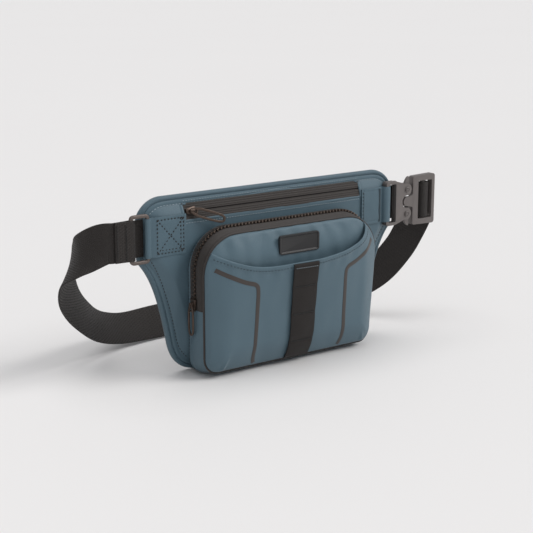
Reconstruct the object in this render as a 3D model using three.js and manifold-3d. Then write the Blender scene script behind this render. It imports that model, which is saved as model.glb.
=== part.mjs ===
// Belt bag: padded back panel, flat zipped rear pocket, zipped front pouch with a slip pocket,
// webbing belt with a rectangular ring on one side and a cast side-release buckle on the other.
// Millimetres, +Z up. X runs along the belt, the pouch faces -Y and the wearer's back panel +Y.
// The origin is the middle of the flat underside that the bag stands on.
import * as THREE from 'three';
import { mergeVertices } from 'three/addons/utils/BufferGeometryUtils.js';
import Module from 'manifold-3d';

const wasm = await Module();
wasm.setup();

// ---------- driving dimensions ----------
const gap = 0.3;                    // air left between neighbouring pieces
const webWidth = 38;                // 1.5 inch webbing
const webThick = 1.8;
const beltZ = 138.5;                // height of the belt line at ring and buckle

const panel = { halfTop: 130, halfWing: 155, halfFoot: 124, height: 175, front: 18.6, back: 25.6 };
const binding = { width: 5, padInset: 5.3 };
const skin = { edgeY: 20.2, shoulderY: 18.8, frontY: 13, edgeInset: 5.6, frontInset: 20, halfWing: 142, drop: 4 };
const rearZip = { halfLength: 107, centreZ: 158.5, centreY: 15.9, width: 15, tilt: 0.3, slit: 0.7 };
const pouch = {
  rearY: 12.7, zipRearY: 6.8, teethRearY: 2.6, teethFrontY: -1.6, zipFrontY: -11.6, edgeY: -14,
  half: 105.5, top: 142.5, bottom: 0, topRadius: 38, bottomRadius: 15, wall: 1.6, zipEndZ: 66,
};
const front = { edgeY: -14.3, bulge: 7.6, riseWidth: 27, thick: 2 };
const pocket = { thick: 1.4, gape: 8.6, rimMiddle: 102.5, rimRise: 21 };
const ring = { outerX: -167.5, innerX: -146.5, height: 47, bar: 3.5, thick: 3.6, y: 13 };
const socket = { leftX: 141, y: 13, height: 47, rivetX: 169.5, rivetZ: 13 };
const tongue = { leftX: 177.2, rightX: 209, height: 54, thick: 7.2, windowLeft: 185.5, windowRight: 205 };

const colours = {
  nylon: 0x566d7a, nylonDark: 0x3f525e, tape: 0x38322f, webbing: 0x2b2725,
  metal: 0x6a6464, rubber: 0x2a2a2a, foam: 0x1e2226, steel: 0x8a8a8a,
};

// ---------- solids ----------
const bag = new THREE.Group();
const gloss = { metal: [0.45, 0.6], steel: [0.3, 0.9] };

function addPart(name, geometry, colour) {
  const [roughness, metalness] = gloss[colour] ?? [0.8, 0];
  const material = new THREE.MeshStandardMaterial({ color: colours[colour], roughness, metalness });
  const mesh = new THREE.Mesh(geometry, material);
  mesh.name = name;
  bag.add(mesh);
  return mesh;
}

function toSolid(geometry) {
  const plain = geometry.clone();
  plain.deleteAttribute('normal');
  plain.deleteAttribute('uv');
  const merged = mergeVertices(plain, 1e-4);
  const vertProperties = new Float32Array(merged.attributes.position.array);
  const triVerts = new Uint32Array(merged.index.array);
  return new wasm.Manifold(new wasm.Mesh({ numProp: 3, vertProperties, triVerts }));
}

function fromSolid(solid) {
  const mesh = solid.getMesh();
  const geometry = new THREE.BufferGeometry();
  geometry.setAttribute('position', new THREE.BufferAttribute(mesh.vertProperties, 3));
  geometry.setIndex(new THREE.BufferAttribute(mesh.triVerts, 1));
  geometry.computeVertexNormals();
  return geometry;
}

function cut(geometry, ...tools) {
  return fromSolid(tools.reduce((solid, tool) => solid.subtract(toSolid(tool)), toSolid(geometry)));
}

function join(geometry, ...others) {
  return fromSolid(others.reduce((solid, other) => solid.add(toSolid(other)), toSolid(geometry)));
}

// A block given by its lowest and highest corners.
function block(x0, x1, y0, y1, z0, z1) {
  return new THREE.BoxGeometry(x1 - x0, y1 - y0, z1 - z0)
    .translate((x0 + x1) / 2, (y0 + y1) / 2, (z0 + z1) / 2);
}

// An outline drawn in X and Z, given thickness along Y from y0 to y1.
function slab(shape, y0, y1, curveSegments = 6) {
  return new THREE.ExtrudeGeometry(shape, { depth: y1 - y0, bevelEnabled: false, curveSegments })
    .rotateX(Math.PI / 2).translate(0, y1, 0);
}

// An outline drawn in X and Y, given height along Z from z0 to z1.
function column(shape, z0, z1, curveSegments = 6) {
  return new THREE.ExtrudeGeometry(shape, { depth: z1 - z0, bevelEnabled: false, curveSegments })
    .translate(0, 0, z0);
}

function roundedShape(x0, x1, z0, z1, r) {
  const shape = new THREE.Shape();
  shape.absarc(x1 - r, z0 + r, r, -Math.PI / 2, 0);
  shape.absarc(x1 - r, z1 - r, r, 0, Math.PI / 2);
  shape.absarc(x0 + r, z1 - r, r, Math.PI / 2, Math.PI);
  shape.absarc(x0 + r, z0 + r, r, Math.PI, 1.5 * Math.PI);
  shape.closePath();
  return shape;
}

// A closed mesh from triangles; turned right side out by the sign of its volume.
function closedMesh(points, triangles) {
  let volume = 0;
  for (const [a, b, c] of triangles) {
    volume += points[a].dot(points[b].clone().cross(points[c]));
  }
  const ordered = volume > 0 ? triangles : triangles.map(([a, b, c]) => [a, c, b]);
  const geometry = new THREE.BufferGeometry().setFromPoints(points);
  geometry.setIndex(ordered.flat());
  geometry.computeVertexNormals();
  return geometry;
}

// A bar whose four corners are given at each station along it.
function bandSolid(stations, closed = false) {
  const points = stations.flat();
  const triangles = [];
  const count = stations.length;
  for (let i = 0; i < (closed ? count : count - 1); i += 1) {
    const here = 4 * i;
    const next = 4 * ((i + 1) % count);
    for (let k = 0; k < 4; k += 1) {
      const other = (k + 1) % 4;
      triangles.push([here + k, next + k, next + other], [here + k, next + other, here + other]);
    }
  }
  if (!closed) {
    const last = 4 * (count - 1);
    triangles.push([0, 1, 2], [0, 2, 3], [last, last + 2, last + 1], [last, last + 3, last + 2]);
  }
  return closedMesh(points, triangles);
}

// A stack of closed outlines in X and Z, each at its own Y, capped at both ends.
function stackSolid(loops) {
  const count = loops[0].outline.length;
  const points = loops.flatMap(({ outline, y }) => outline.map((p) => new THREE.Vector3(p.x, y, p.y)));
  const triangles = [];
  for (let row = 0; row < loops.length - 1; row += 1) {
    for (let i = 0; i < count; i += 1) {
      const a = row * count + i;
      const b = row * count + ((i + 1) % count);
      triangles.push([a, b, b + count], [a, b + count, a + count]);
    }
  }
  const last = (loops.length - 1) * count;
  for (const [a, b, c] of THREE.ShapeUtils.triangulateShape(loops[0].outline, [])) {
    triangles.push([a, c, b]);
  }
  for (const [a, b, c] of THREE.ShapeUtils.triangulateShape(loops.at(-1).outline, [])) {
    triangles.push([last + a, last + b, last + c]);
  }
  return closedMesh(points, triangles);
}

// A curved sheet: place(u, v) gives its outer face, and it is thick millimetres deep along +Y.
function sheetSolid(place, columns, rows, thick) {
  const points = [];
  for (const depth of [0, thick]) {
    for (let j = 0; j <= rows; j += 1) {
      for (let i = 0; i <= columns; i += 1) {
        points.push(place(2 * i / columns - 1, j / rows).add(new THREE.Vector3(0, depth, 0)));
      }
    }
  }
  const at = (side, i, j) => side * (columns + 1) * (rows + 1) + j * (columns + 1) + i;
  const triangles = [];
  const quad = (a, b, c, d) => triangles.push([a, b, c], [a, c, d]);
  for (let j = 0; j < rows; j += 1) {
    for (let i = 0; i < columns; i += 1) {
      quad(at(0, i, j), at(0, i + 1, j), at(0, i + 1, j + 1), at(0, i, j + 1));
      quad(at(1, i, j), at(1, i, j + 1), at(1, i + 1, j + 1), at(1, i + 1, j));
    }
  }
  for (let i = 0; i < columns; i += 1) {
    quad(at(0, i, 0), at(1, i, 0), at(1, i + 1, 0), at(0, i + 1, 0));
    quad(at(0, i, rows), at(0, i + 1, rows), at(1, i + 1, rows), at(1, i, rows));
  }
  for (let j = 0; j < rows; j += 1) {
    quad(at(0, 0, j), at(0, 0, j + 1), at(1, 0, j + 1), at(1, 0, j));
    quad(at(0, columns, j), at(1, columns, j), at(1, columns, j + 1), at(0, columns, j + 1));
  }
  return closedMesh(points, triangles);
}

// ---------- padded back panel ----------
// The panel's outline moved inwards by d: its right side from foot to top, then that mirrored.
function panelShape(d = 0, halfWing = panel.halfWing, drop = 0) {
  const p = (x, z) => new THREE.Vector2(x, z);
  const { halfTop, halfFoot } = panel;
  const top = panel.height - drop;
  const foot = p(84 - 0.2 * d, d);
  const knee = p(halfFoot - d, 30 + 0.3 * d);
  const underWing = p(halfWing - 2 - 0.9 * d, 112 + 0.67 * d);
  const wingLow = p(halfWing - d, 128 + 0.2 * d);
  const wingHigh = p(halfWing - d, top - 18 - 0.2 * d);
  const shoulder = p(Math.min(halfTop, halfWing - 8) - 0.25 * d, top - d);
  const curves = [
    [foot, p(106 - 0.9 * d, d), p(119 - d, 8 + 0.7 * d), knee],
    [knee, p(130 - d, 62), p(137 - d, 94 + 0.3 * d), underWing],
    [underWing, p(halfWing + 1 - d, 116 + 0.6 * d), p(halfWing - d, 122 + 0.3 * d), wingLow],
    [wingHigh, p(halfWing - 5 - 0.9 * d, top - 7 - 0.7 * d), p(Math.min(141, halfWing - 4) - 0.5 * d, top - 1 - d),
      shoulder],
  ];
  const right = curves.flatMap((points, i) => {
    const sampled = new THREE.CubicBezierCurve(...points).getPoints(i === 2 ? 3 : 6);
    return i < 2 ? sampled.slice(0, -1) : sampled;
  });
  return [...right, ...right.map((q) => p(-q.x, q.y)).reverse()];
}

const panelOutline = panelShape();
const bindingInner = panelShape(binding.width);
const corner = (p, y) => new THREE.Vector3(p.x, y, p.y);
addPart('edge_binding', bandSolid(panelOutline.map((p, i) => [
  corner(p, panel.front), corner(p, panel.back),
  corner(bindingInner[i], panel.back), corner(bindingInner[i], panel.front)]), true), 'nylonDark');

const padOutline = panelShape(binding.padInset);
addPart('back_pad', slab(new THREE.Shape(padOutline), skin.edgeY + gap, panel.back), 'foam');

// ---------- flat rear pocket: front skin with a slot for the zip ----------
function onZipPlane(geometry) {
  return geometry.rotateX(-rearZip.tilt).translate(0, rearZip.centreY, rearZip.centreZ);
}
const zipSlot = onZipPlane(block(-rearZip.halfLength - gap, rearZip.halfLength + gap, -6, 2.4,
  -rearZip.width / 2 - gap, rearZip.width / 2 + gap));
const skinSolid = stackSolid([
  { outline: panelShape(skin.edgeInset, skin.halfWing), y: skin.edgeY },
  { outline: panelShape(skin.edgeInset + 0.7, skin.halfWing), y: skin.shoulderY },
  { outline: panelShape(skin.frontInset, skin.halfWing, skin.drop), y: skin.frontY },
]);
addPart('rear_pocket_front', cut(skinSolid, zipSlot), 'nylon');

const halfSlit = rearZip.slit / 2;
for (const [name, z0, z1] of [['upper', halfSlit, rearZip.width / 2], ['lower', -rearZip.width / 2, -halfSlit]]) {
  addPart(`rear_zip_${name}_tape`,
    onZipPlane(block(-rearZip.halfLength, rearZip.halfLength, -0.6, 0.6, z0, z1)), 'tape');
}
addPart('rear_zip_coil',
  onZipPlane(block(-rearZip.halfLength + 2, rearZip.halfLength - 2, 0.6 + gap, 2.1, -2.6, 2.6)), 'tape');

// ---------- zip sliders and their loop pulls ----------
// Made lying in X and Z with the tape behind it at +Y: a plate, and a bridge that holds the pin.
const pinRise = 2;
function sliderBody(length, width) {
  const half = length / 2;
  const nose = new THREE.Shape();
  nose.moveTo(-half, -width * 0.3);
  nose.quadraticCurveTo(0, -width * 0.42, half, -width / 2);
  nose.lineTo(half, width / 2);
  nose.quadraticCurveTo(0, width * 0.42, -half, width * 0.3);
  nose.closePath();
  const plate = slab(nose, 0, 1.6, 4);
  const bridge = slab(roundedShape(-half / 2, half / 2, -1.3, 1.3, 1.2), -3.6, 0.2, 3);
  const pinHole = new THREE.CylinderGeometry(1.25, 1.25, width, 10).rotateX(Math.PI / 2).translate(0, -pinRise, 0);
  return cut(join(plate, bridge), pinHole);
}

// A long wire-like loop from the pin at the origin out along +X.
function pullLoop(length, width) {
  const outer = roundedShape(-1.3, length, -width / 2, width / 2, width / 2 - 0.1);
  const opening = slab(roundedShape(5, length - 1.9, -width / 2 + 1.9, width / 2 - 1.9, width / 2 - 2), -2, 2, 4);
  const bridgeRoom = block(-2.6, 3.9, -2, 2, -2.4, 2.4);
  const pin = new THREE.CylinderGeometry(0.5, 0.5, width - 3, 10).rotateX(Math.PI / 2);
  return join(cut(slab(outer, -0.8, 0.8, 5), opening, bridgeRoom), pin);
}

function zipPlanePoint(x, y, z) {
  return new THREE.Vector3(x, y, z).applyAxisAngle(new THREE.Vector3(1, 0, 0), -rearZip.tilt)
    .add(new THREE.Vector3(0, rearZip.centreY, rearZip.centreZ));
}
const turnX = (a) => new THREE.Matrix4().makeRotationX(a);
const turnY = (a) => new THREE.Matrix4().makeRotationY(a);
const turnZ = (a) => new THREE.Matrix4().makeRotationZ(a);

const rearSlider = { x: -100, lift: -2.5, length: 10, pullLength: 36, pullDrop: 0.34, pullForward: 0.2 };
addPart('rear_zip_slider', sliderBody(rearSlider.length, 8).applyMatrix4(
  turnX(-rearZip.tilt).setPosition(zipPlanePoint(rearSlider.x, rearSlider.lift, 0))), 'metal');
addPart('rear_zip_pull', pullLoop(rearSlider.pullLength, 8).applyMatrix4(
  turnY(rearSlider.pullDrop).multiply(turnZ(-rearSlider.pullForward))
    .setPosition(zipPlanePoint(rearSlider.x, rearSlider.lift - pinRise, 0))), 'metal');

const mainSlider = { x: -107.95, y: 0.5, z: 71, length: 12, pullLength: 30 };
addPart('main_zip_slider', sliderBody(mainSlider.length, 9).applyMatrix4(
  turnZ(-Math.PI / 2).multiply(turnY(-Math.PI / 2))
    .setPosition(mainSlider.x, mainSlider.y, mainSlider.z)), 'metal');
addPart('main_zip_pull', pullLoop(mainSlider.pullLength, 8.6).applyMatrix4(
  turnZ(-Math.PI / 2).multiply(turnY(Math.PI / 2))
    .setPosition(mainSlider.x - pinRise, mainSlider.y, mainSlider.z)), 'metal');

// ---------- front pouch walls ----------
// Outline of the pouch at one depth, as stations that match from one depth to the next:
// the first stretch runs from the left zip end over the top to the right zip end, the second
// closes it round the bottom. Each station holds its point and its inward direction.
function pouchStations(half, top, bottom, from, to) {
  const { topRadius, bottomRadius, zipEndZ } = pouch;
  const stations = [];
  const add = (x, z, nx, nz) => stations.push({ x, z, nx, nz });
  const arc = (cx, cz, r, a0, a1, steps) => {
    for (let k = 0; k <= steps; k += 1) {
      const a = a0 + (a1 - a0) * k / steps;
      add(cx + r * Math.cos(a), cz + r * Math.sin(a), -Math.cos(a), -Math.sin(a));
    }
  };
  if (from === 'zip') {
    add(-half, zipEndZ, 1, 0);
    arc(-half + topRadius, top - topRadius, topRadius, Math.PI, Math.PI / 2, 8);
    arc(half - topRadius, top - topRadius, topRadius, Math.PI / 2, 0, 8);
    add(half, zipEndZ, -1, 0);
  }
  if (to === 'bottom') {
    add(half, zipEndZ - gap, -1, 0);
    arc(half - bottomRadius, bottom + bottomRadius, bottomRadius, 0, -Math.PI / 2, 5);
    arc(-half + bottomRadius, bottom + bottomRadius, bottomRadius, -Math.PI / 2, -Math.PI, 5);
    add(-half, zipEndZ - gap, 1, 0);
  }
  return stations;
}

// The pouch is a little narrower and lower at its front and rear seams than in the middle, and
// its underside is flat.
function pouchAt(y) {
  const toRear = Math.max(0, (y - pouch.zipRearY) / (pouch.rearY - pouch.zipRearY));
  const toFront = Math.max(0, (pouch.teethRearY - y) / (pouch.teethRearY - pouch.edgeY));
  return {
    half: pouch.half - 2.4 * toRear - 1 * toFront,
    top: pouch.top - 3.5 * toRear - 5 * toFront,
    bottom: pouch.bottom + 1.2 * toRear,
  };
}

function pouchBand(yRear, yFront, from, to, wall, closed = false, lift = 0) {
  const a = pouchAt(yRear);
  const b = pouchAt(yFront);
  const rear = pouchStations(a.half, a.top, a.bottom, from, to);
  const fore = pouchStations(b.half, b.top, b.bottom, from, to);
  const point = (s, y, depth) => new THREE.Vector3(s.x + s.nx * depth, y, s.z + s.nz * depth);
  return bandSolid(rear.map((s, i) => [
    point(s, yRear, -lift), point(fore[i], yFront, -lift), point(fore[i], yFront, wall), point(s, yRear, wall),
  ]), closed);
}

addPart('gusset_rear_band', pouchBand(pouch.rearY, pouch.zipRearY + gap, 'zip', 'bottom', pouch.wall, true), 'nylon');
addPart('gusset_lower_band', pouchBand(pouch.zipRearY, pouch.edgeY, '', 'bottom', pouch.wall), 'nylon');
addPart('main_zip_rear_tape', pouchBand(pouch.zipRearY, pouch.teethRearY + gap, 'zip', '', 1.4), 'tape');
addPart('main_zip_teeth', pouchBand(pouch.teethRearY, pouch.teethFrontY, 'zip', '', 1.6, false, 0.5), 'tape');
addPart('main_zip_front_tape', pouchBand(pouch.teethFrontY - gap, pouch.zipFrontY, 'zip', '', 1.4), 'tape');
addPart('front_seam_flange', pouchBand(pouch.zipFrontY - gap, pouch.edgeY, 'zip', '', pouch.wall), 'nylon');
for (const [side, sign] of [['left', -1], ['right', 1]]) {
  const x0 = sign * (pouch.half - 2.2);
  const x1 = sign * (pouch.half - 3.6);
  addPart(`main_zip_${side}_stop`,
    block(Math.min(x0, x1), Math.max(x0, x1), -2.4, 3.4, pouch.zipEndZ - 3, pouch.zipEndZ - 0.6), 'metal');
}

// Lining: a thin open tray that stands inside the pouch walls.
const liningOuter = roundedShape(-100, 100, 6, 134, 30);
const liningInner = roundedShape(-98.8, 98.8, 7.2, 132.8, 28.8);
addPart('pouch_lining', cut(slab(liningOuter, -10.5, 12.4), slab(liningInner, -12, 11.4)), 'foam');

// ---------- pouch front and slip pocket ----------
const edge = pouchAt(pouch.edgeY);

// How far inside the pouch's outline a point of the front is, in millimetres.
function depthInside(x, z) {
  const middle = (edge.top + edge.bottom) / 2;
  const r = z > middle ? pouch.topRadius : pouch.bottomRadius;
  const qx = Math.abs(x) - (edge.half - r);
  const qz = Math.abs(z - middle) - ((edge.top - edge.bottom) / 2 - r);
  return r - Math.min(Math.max(qx, qz), 0) - Math.hypot(Math.max(qx, 0), Math.max(qz, 0));
}

function frontRise(x, z) {
  return Math.sin(Math.min(Math.max(depthInside(x, z) / front.riseWidth, 0), 1) * Math.PI / 2);
}

function halfWidthAt(z) {
  const fromTop = z - (edge.top - pouch.topRadius);
  const fromBottom = edge.bottom + pouch.bottomRadius - z;
  if (fromTop > 0) {
    return edge.half - pouch.topRadius + Math.sqrt(pouch.topRadius ** 2 - Math.min(fromTop, pouch.topRadius) ** 2);
  }
  if (fromBottom > 0) {
    return edge.half - pouch.bottomRadius + Math.sqrt(pouch.bottomRadius ** 2 - fromBottom ** 2);
  }
  return edge.half;
}

function frontY(x, z) {
  return front.edgeY - front.thick - front.bulge * frontRise(x, z);
}

addPart('front_panel', sheetSolid((u, v) => {
  const z = edge.bottom + v * (edge.top - edge.bottom);
  const x = u * halfWidthAt(z);
  return new THREE.Vector3(x, frontY(x, z), z);
}, 24, 18, front.thick), 'nylon');

function rimZ(u) {
  return pocket.rimMiddle + pocket.rimRise * Math.abs(u) ** 2.4;
}

// Outer face of the slip pocket; it stands off the front panel most at the middle of its mouth.
function pocketPoint(u, v, proud = 0) {
  const z = edge.bottom + v * (rimZ(u) - edge.bottom);
  const x = u * (halfWidthAt(z) - 0.2);
  const gape = pocket.gape * v ** 1.4 * frontRise(x, 70) * (1 - u * u);
  return new THREE.Vector3(x, frontY(x, z) - 3 * gap - pocket.thick - gape - proud, z);
}
addPart('slip_pocket', sheetSolid((u, v) => pocketPoint(u, v), 24, 14, pocket.thick), 'nylon');

// Flat trims that lie on the pocket: width millimetres wide along a path of (u, v) places.
function trimOnPocket(path, width, thick, proud) {
  return bandSolid(path.map(([u, v], i) => {
    const before = pocketPoint(...path[Math.max(i - 1, 0)]);
    const after = pocketPoint(...path[Math.min(i + 1, path.length - 1)]);
    const along = after.sub(before).normalize();
    const across = new THREE.Vector3(-along.z, 0, along.x).multiplyScalar(width / 2 / Math.hypot(along.x, along.z));
    const place = (side, depth) => pocketPoint(u, v, depth).add(across.clone().multiplyScalar(side));
    return [place(-1, proud), place(1, proud), place(1, proud + thick), place(-1, proud + thick)];
  }));
}
const steps = (from, to, count) => Array.from({ length: count + 1 }, (_, i) => from + (to - from) * i / count);
addPart('ladder_webbing', trimOnPocket(steps(0.03, 0.985, 16).map((v) => [0, v]), 29, 1.4, 1), 'webbing');
for (const [name, v] of [['upper', 0.76], ['middle', 0.48], ['lower', 0.2]]) {
  addPart(`ladder_bartack_${name}`, trimOnPocket([[0, v - 0.009], [0, v + 0.009]], 26, 0.5, 2.4 + gap), 'tape');
}
for (const [side, sign] of [['left', -1], ['right', 1]]) {
  const arm = steps(0.93, 0.62, 5).map((u) => [sign * u, 0.80 - 0.06 * (0.93 - u) / 0.31]);
  const bend = steps(0.2, 1.4, 4).map((a) => [sign * (0.6 - 0.065 * Math.sin(a)), 0.68 + 0.055 * Math.cos(a)]);
  const leg = steps(0.62, 0.04, 8).map((v) => [sign * (0.53 - 0.05 * (0.62 - v)), v]);
  addPart(`reflective_stripe_${side}`, trimOnPocket([...arm, ...bend, ...leg], 3.8, 0.5, 1.2), 'tape');
}

const labelBody = slab(roundedShape(-24.2, 24.2, 112.5, 131.5, 3), 0, 2, 4);
addPart('rubber_label', labelBody.translate(0, front.edgeY - front.thick - front.bulge - 2 - gap, 0), 'rubber');

// ---------- fabric tabs that hold the ring and the buckle ----------
// A flat tail on the panel that ends in a folded loop round an upright bar.
function tabSolid(sign, tailX, bar, halfHeight) {
  const wall = 1.2;
  const outline = new THREE.Shape();
  const inner = bar.inner - wall;
  const outer = bar.outer + wall;
  const yf = bar.y - bar.halfThick - 0.3 - wall;
  const yb = bar.y + bar.halfThick + 0.3 + wall;
  outline.moveTo(sign * tailX, 12.7);
  outline.lineTo(sign * tailX, 10.9);
  outline.lineTo(sign * (inner - 4), 10.6);
  outline.lineTo(sign * (inner + 1), yf);
  outline.lineTo(sign * (outer - 1), yf);
  outline.quadraticCurveTo(sign * outer, yf, sign * outer, yf + 1.45);
  outline.lineTo(sign * outer, yb - 1.45);
  outline.quadraticCurveTo(sign * outer, yb, sign * (outer - 1), yb);
  outline.lineTo(sign * (inner + 1), yb);
  outline.quadraticCurveTo(sign * inner, yb, sign * inner, yb - 1.45);
  outline.lineTo(sign * inner, 12.7);
  outline.closePath();
  const across = [sign * bar.inner, sign * bar.outer].sort((a, b) => a - b);
  const room = block(...across, yf + wall, yb - wall, beltZ - 60, beltZ + 60);
  return cut(column(outline, beltZ - halfHeight, beltZ + halfHeight, 3), room);
}
addPart('left_tab', tabSolid(-1, 106, { inner: 145.9, outer: 150.8, y: ring.y, halfThick: 2 }, 19), 'nylon');
addPart('right_tab', tabSolid(1, 109, { inner: 140.6, outer: 144.9, y: socket.y, halfThick: 3.6 }, 19), 'nylon');

// ---------- rectangular ring and the webbing folded round it ----------
const ringShape = roundedShape(ring.outerX, ring.innerX, beltZ - ring.height / 2, beltZ + ring.height / 2, 3);
ringShape.holes.push(roundedShape(ring.outerX + ring.bar, ring.innerX - ring.bar,
  beltZ - ring.height / 2 + ring.bar, beltZ + ring.height / 2 - ring.bar, 1));
addPart('belt_ring', slab(ringShape, ring.y - ring.thick / 2, ring.y + ring.thick / 2), 'metal');

const wrap = { inner: -163.6, outer: -167.9, end: -183 };
const wrapShape = new THREE.Shape();
wrapShape.moveTo(wrap.end, 15.2);
wrapShape.lineTo(wrap.end, 11.4);
wrapShape.lineTo(wrap.outer - 4, 10.4);
wrapShape.lineTo(wrap.outer - 1, 9.3);
wrapShape.lineTo(wrap.inner, 9.3);
wrapShape.quadraticCurveTo(wrap.inner + 2, ring.y, wrap.inner, 16.7);
wrapShape.lineTo(wrap.outer - 1, 16.7);
wrapShape.lineTo(wrap.outer - 4, 15.8);
wrapShape.closePath();
const wrapRoom = block(wrap.outer, wrap.inner, 10.9, 15.1, beltZ - 60, beltZ + 60);
addPart('belt_ring_wrap',
  cut(column(wrapShape, beltZ - webWidth / 2, beltZ + webWidth / 2), wrapRoom), 'webbing');

// ---------- belt webbing ----------
// Stations along the belt: centre of the webbing, and the direction across it from lower edge
// to upper edge. It leaves the ring level, drops round the left bend to the ground, lies behind
// the bag and climbs to the buckle.
const beltStations = [
  [[-185.2, 13.6, 138.5], [0, 0, 1]],
  [[-193, 16.8, 138.2], [0.02, 0, 1]],
  [[-202, 25, 132.5], [0.14, -0.01, 0.99]],
  [[-209, 36, 124], [0.28, -0.02, 0.96]],
  [[-211, 51, 110.5], [0.42, 0.05, 0.9]],
  [[-206, 66, 89], [0.62, 0.35, 0.68]],
  [[-193, 81, 69], [0.66, 0.56, 0.48]],
  [[-172, 99, 48.5], [0.6, 0.68, 0.4]],
  [[-148, 118, 31], [0.52, 0.73, 0.44]],
  [[-124, 131, 20.5], [0.4, 0.75, 0.52]],
  [[-98, 138, 15.5], [0.34, 0.74, 0.58]],
  [[-57, 141, 15.6], [0.2, 0.65, 0.73]],
  [[0, 139, 16.8], [0.08, 0.6, 0.79]],
  [[60, 130, 17], [0, 0.6, 0.8]],
  [[112, 114, 18.5], [-0.05, 0.65, 0.75]],
  [[150, 90, 30], [-0.1, 0.78, 0.6]],
  [[177, 66, 50], [-0.15, 0.86, 0.45]],
  [[196, 52, 76], [-0.17, 0.9, 0.34]],
  [[208, 46, 99], [-0.16, 0.88, 0.42]],
  [[213.5, 38.5, 119], [-0.1, 0.84, 0.53]],
  [[212, 31.5, 131], [-0.05, 0.55, 0.83]],
  [[204.5, 25, 137.5], [0, 0.12, 0.99]],
  [[198.5, 19.6, 138.5], [0, 0, 1]],
];
const beltCentre = new THREE.CatmullRomCurve3(
  beltStations.map(([c]) => new THREE.Vector3(...c)), false, 'catmullrom', 0.5);
const beltAcross = new THREE.CatmullRomCurve3(
  beltStations.map(([, a]) => new THREE.Vector3(...a).normalize()), false, 'catmullrom', 0.5);

// The webbing between two stations, numbered from the ring; fractions leave the gap at a joint.
function beltPiece(first, last, stepsPerStation = 3) {
  const spans = beltStations.length - 1;
  const count = Math.round((last - first) * stepsPerStation);
  const sections = steps(first / spans, last / spans, count).map((t) => {
    const centre = beltCentre.getPoint(t);
    const along = beltCentre.getTangent(t);
    const across = beltAcross.getPoint(t);
    across.addScaledVector(along, -across.dot(along)).normalize();
    const through = new THREE.Vector3().crossVectors(along, across).normalize();
    const place = (a, b) => centre.clone().addScaledVector(across, a * webWidth / 2)
      .addScaledVector(through, b * webThick / 2);
    return [place(-1, -1), place(1, -1), place(1, 1), place(-1, 1)];
  });
  return bandSolid(sections);
}
addPart('belt_left', beltPiece(0, 6.98), 'webbing');
addPart('belt_back', beltPiece(7, 13.98), 'webbing');
addPart('belt_right', beltPiece(14, beltStations.length - 1), 'webbing');

// ---------- buckle socket: two plates round a spacer, with two sprung latches between them ----------
const { rivetX, rivetZ } = socket;
function socketOutline() {
  const s = new THREE.Shape();
  const top = socket.height / 2;
  const x0 = socket.leftX;
  s.moveTo(x0, -top + 3);
  s.lineTo(x0, top - 3);
  s.quadraticCurveTo(x0, top, x0 + 3, top);
  s.lineTo(153, top);
  s.lineTo(166.5, 19.6);
  s.absarc(rivetX, rivetZ, 6.4, 1.95, -1.3, true);
  s.absarc(rivetX + 0.6, 0, 6.9, 1.4, 2 * Math.PI - 1.4, false);
  s.absarc(rivetX, -rivetZ, 6.4, 1.3, -1.95, true);
  s.lineTo(153, -top);
  s.lineTo(x0 + 3, -top);
  s.quadraticCurveTo(x0, -top, x0, -top + 3);
  s.closePath();
  return s;
}
const atBeltZ = (geometry) => geometry.translate(0, 0, beltZ);
const slotRoom = slab(roundedShape(144.5, 154.3, -20.4, 20.4, 1), socket.y - 10, socket.y + 10, 3);
const rivetRooms = [1, -1].map((sign) => new THREE.CylinderGeometry(2.3, 2.3, 30, 16)
  .translate(rivetX, socket.y, sign * rivetZ));
const layer = { frontPlate: [9.4, 11.4], middle: [11.7, 14.3], backPlate: [14.6, 16.6] };
for (const side of ['front', 'back']) {
  const [y0, y1] = layer[`${side}Plate`];
  addPart(`socket_${side}_plate`,
    atBeltZ(cut(slab(socketOutline(), y0, y1), slotRoom, ...rivetRooms)), 'metal');
}
const spacerShape = roundedShape(socket.leftX, 157.2, -socket.height / 2, socket.height / 2, 2.5);
addPart('socket_spacer', atBeltZ(cut(slab(spacerShape, ...layer.middle), slotRoom)), 'metal');
for (const [name, sign] of [['upper', 1], ['lower', -1]]) {
  const shank = new THREE.CylinderGeometry(2, 2, 8.2, 16).translate(rivetX, socket.y - 0.1, sign * rivetZ);
  const head = new THREE.CylinderGeometry(2.7, 2.7, 0.7, 16).translate(rivetX, 8.75, sign * rivetZ);
  addPart(`rivet_${name}`, atBeltZ(join(shank, head)), 'metal');
}

// Latch: an eye on its rivet, a hook that reaches in behind the tongue's barb, and a release
// tab that stands out past the plates.
for (const [name, sign] of [['upper', 1], ['lower', -1]]) {
  const latch = new THREE.Shape();
  const p = (x, z) => [rivetX + x, sign * (rivetZ + z)];
  latch.moveTo(...p(-10.6, 2.6));
  latch.lineTo(...p(-10.6, -6.6));
  latch.lineTo(...p(-8.4, -6.6));
  latch.lineTo(...p(-7.2, -3.4));
  latch.lineTo(...p(2.4, -3.6));
  latch.lineTo(...p(4.6, 0));
  latch.lineTo(...p(5.2, 9.5));
  latch.quadraticCurveTo(...p(5.2, 13.6), ...p(3.6, 13.6));
  latch.quadraticCurveTo(...p(0.6, 12.4), ...p(-1.4, 7.4));
  latch.lineTo(...p(-4, 3.4));
  latch.closePath();
  const rivetRoom = rivetRooms[sign > 0 ? 0 : 1];
  addPart(`latch_${name}`, atBeltZ(cut(slab(latch, ...layer.middle), rivetRoom)), 'metal');
  const springZ = [17.2, 21.2].map((z) => sign * z).sort((a, b) => a - b);
  addPart(`latch_spring_${name}`, atBeltZ(slab(roundedShape(158, 160.4, ...springZ, 0.8), 12, 14, 3)), 'steel');
}

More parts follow.
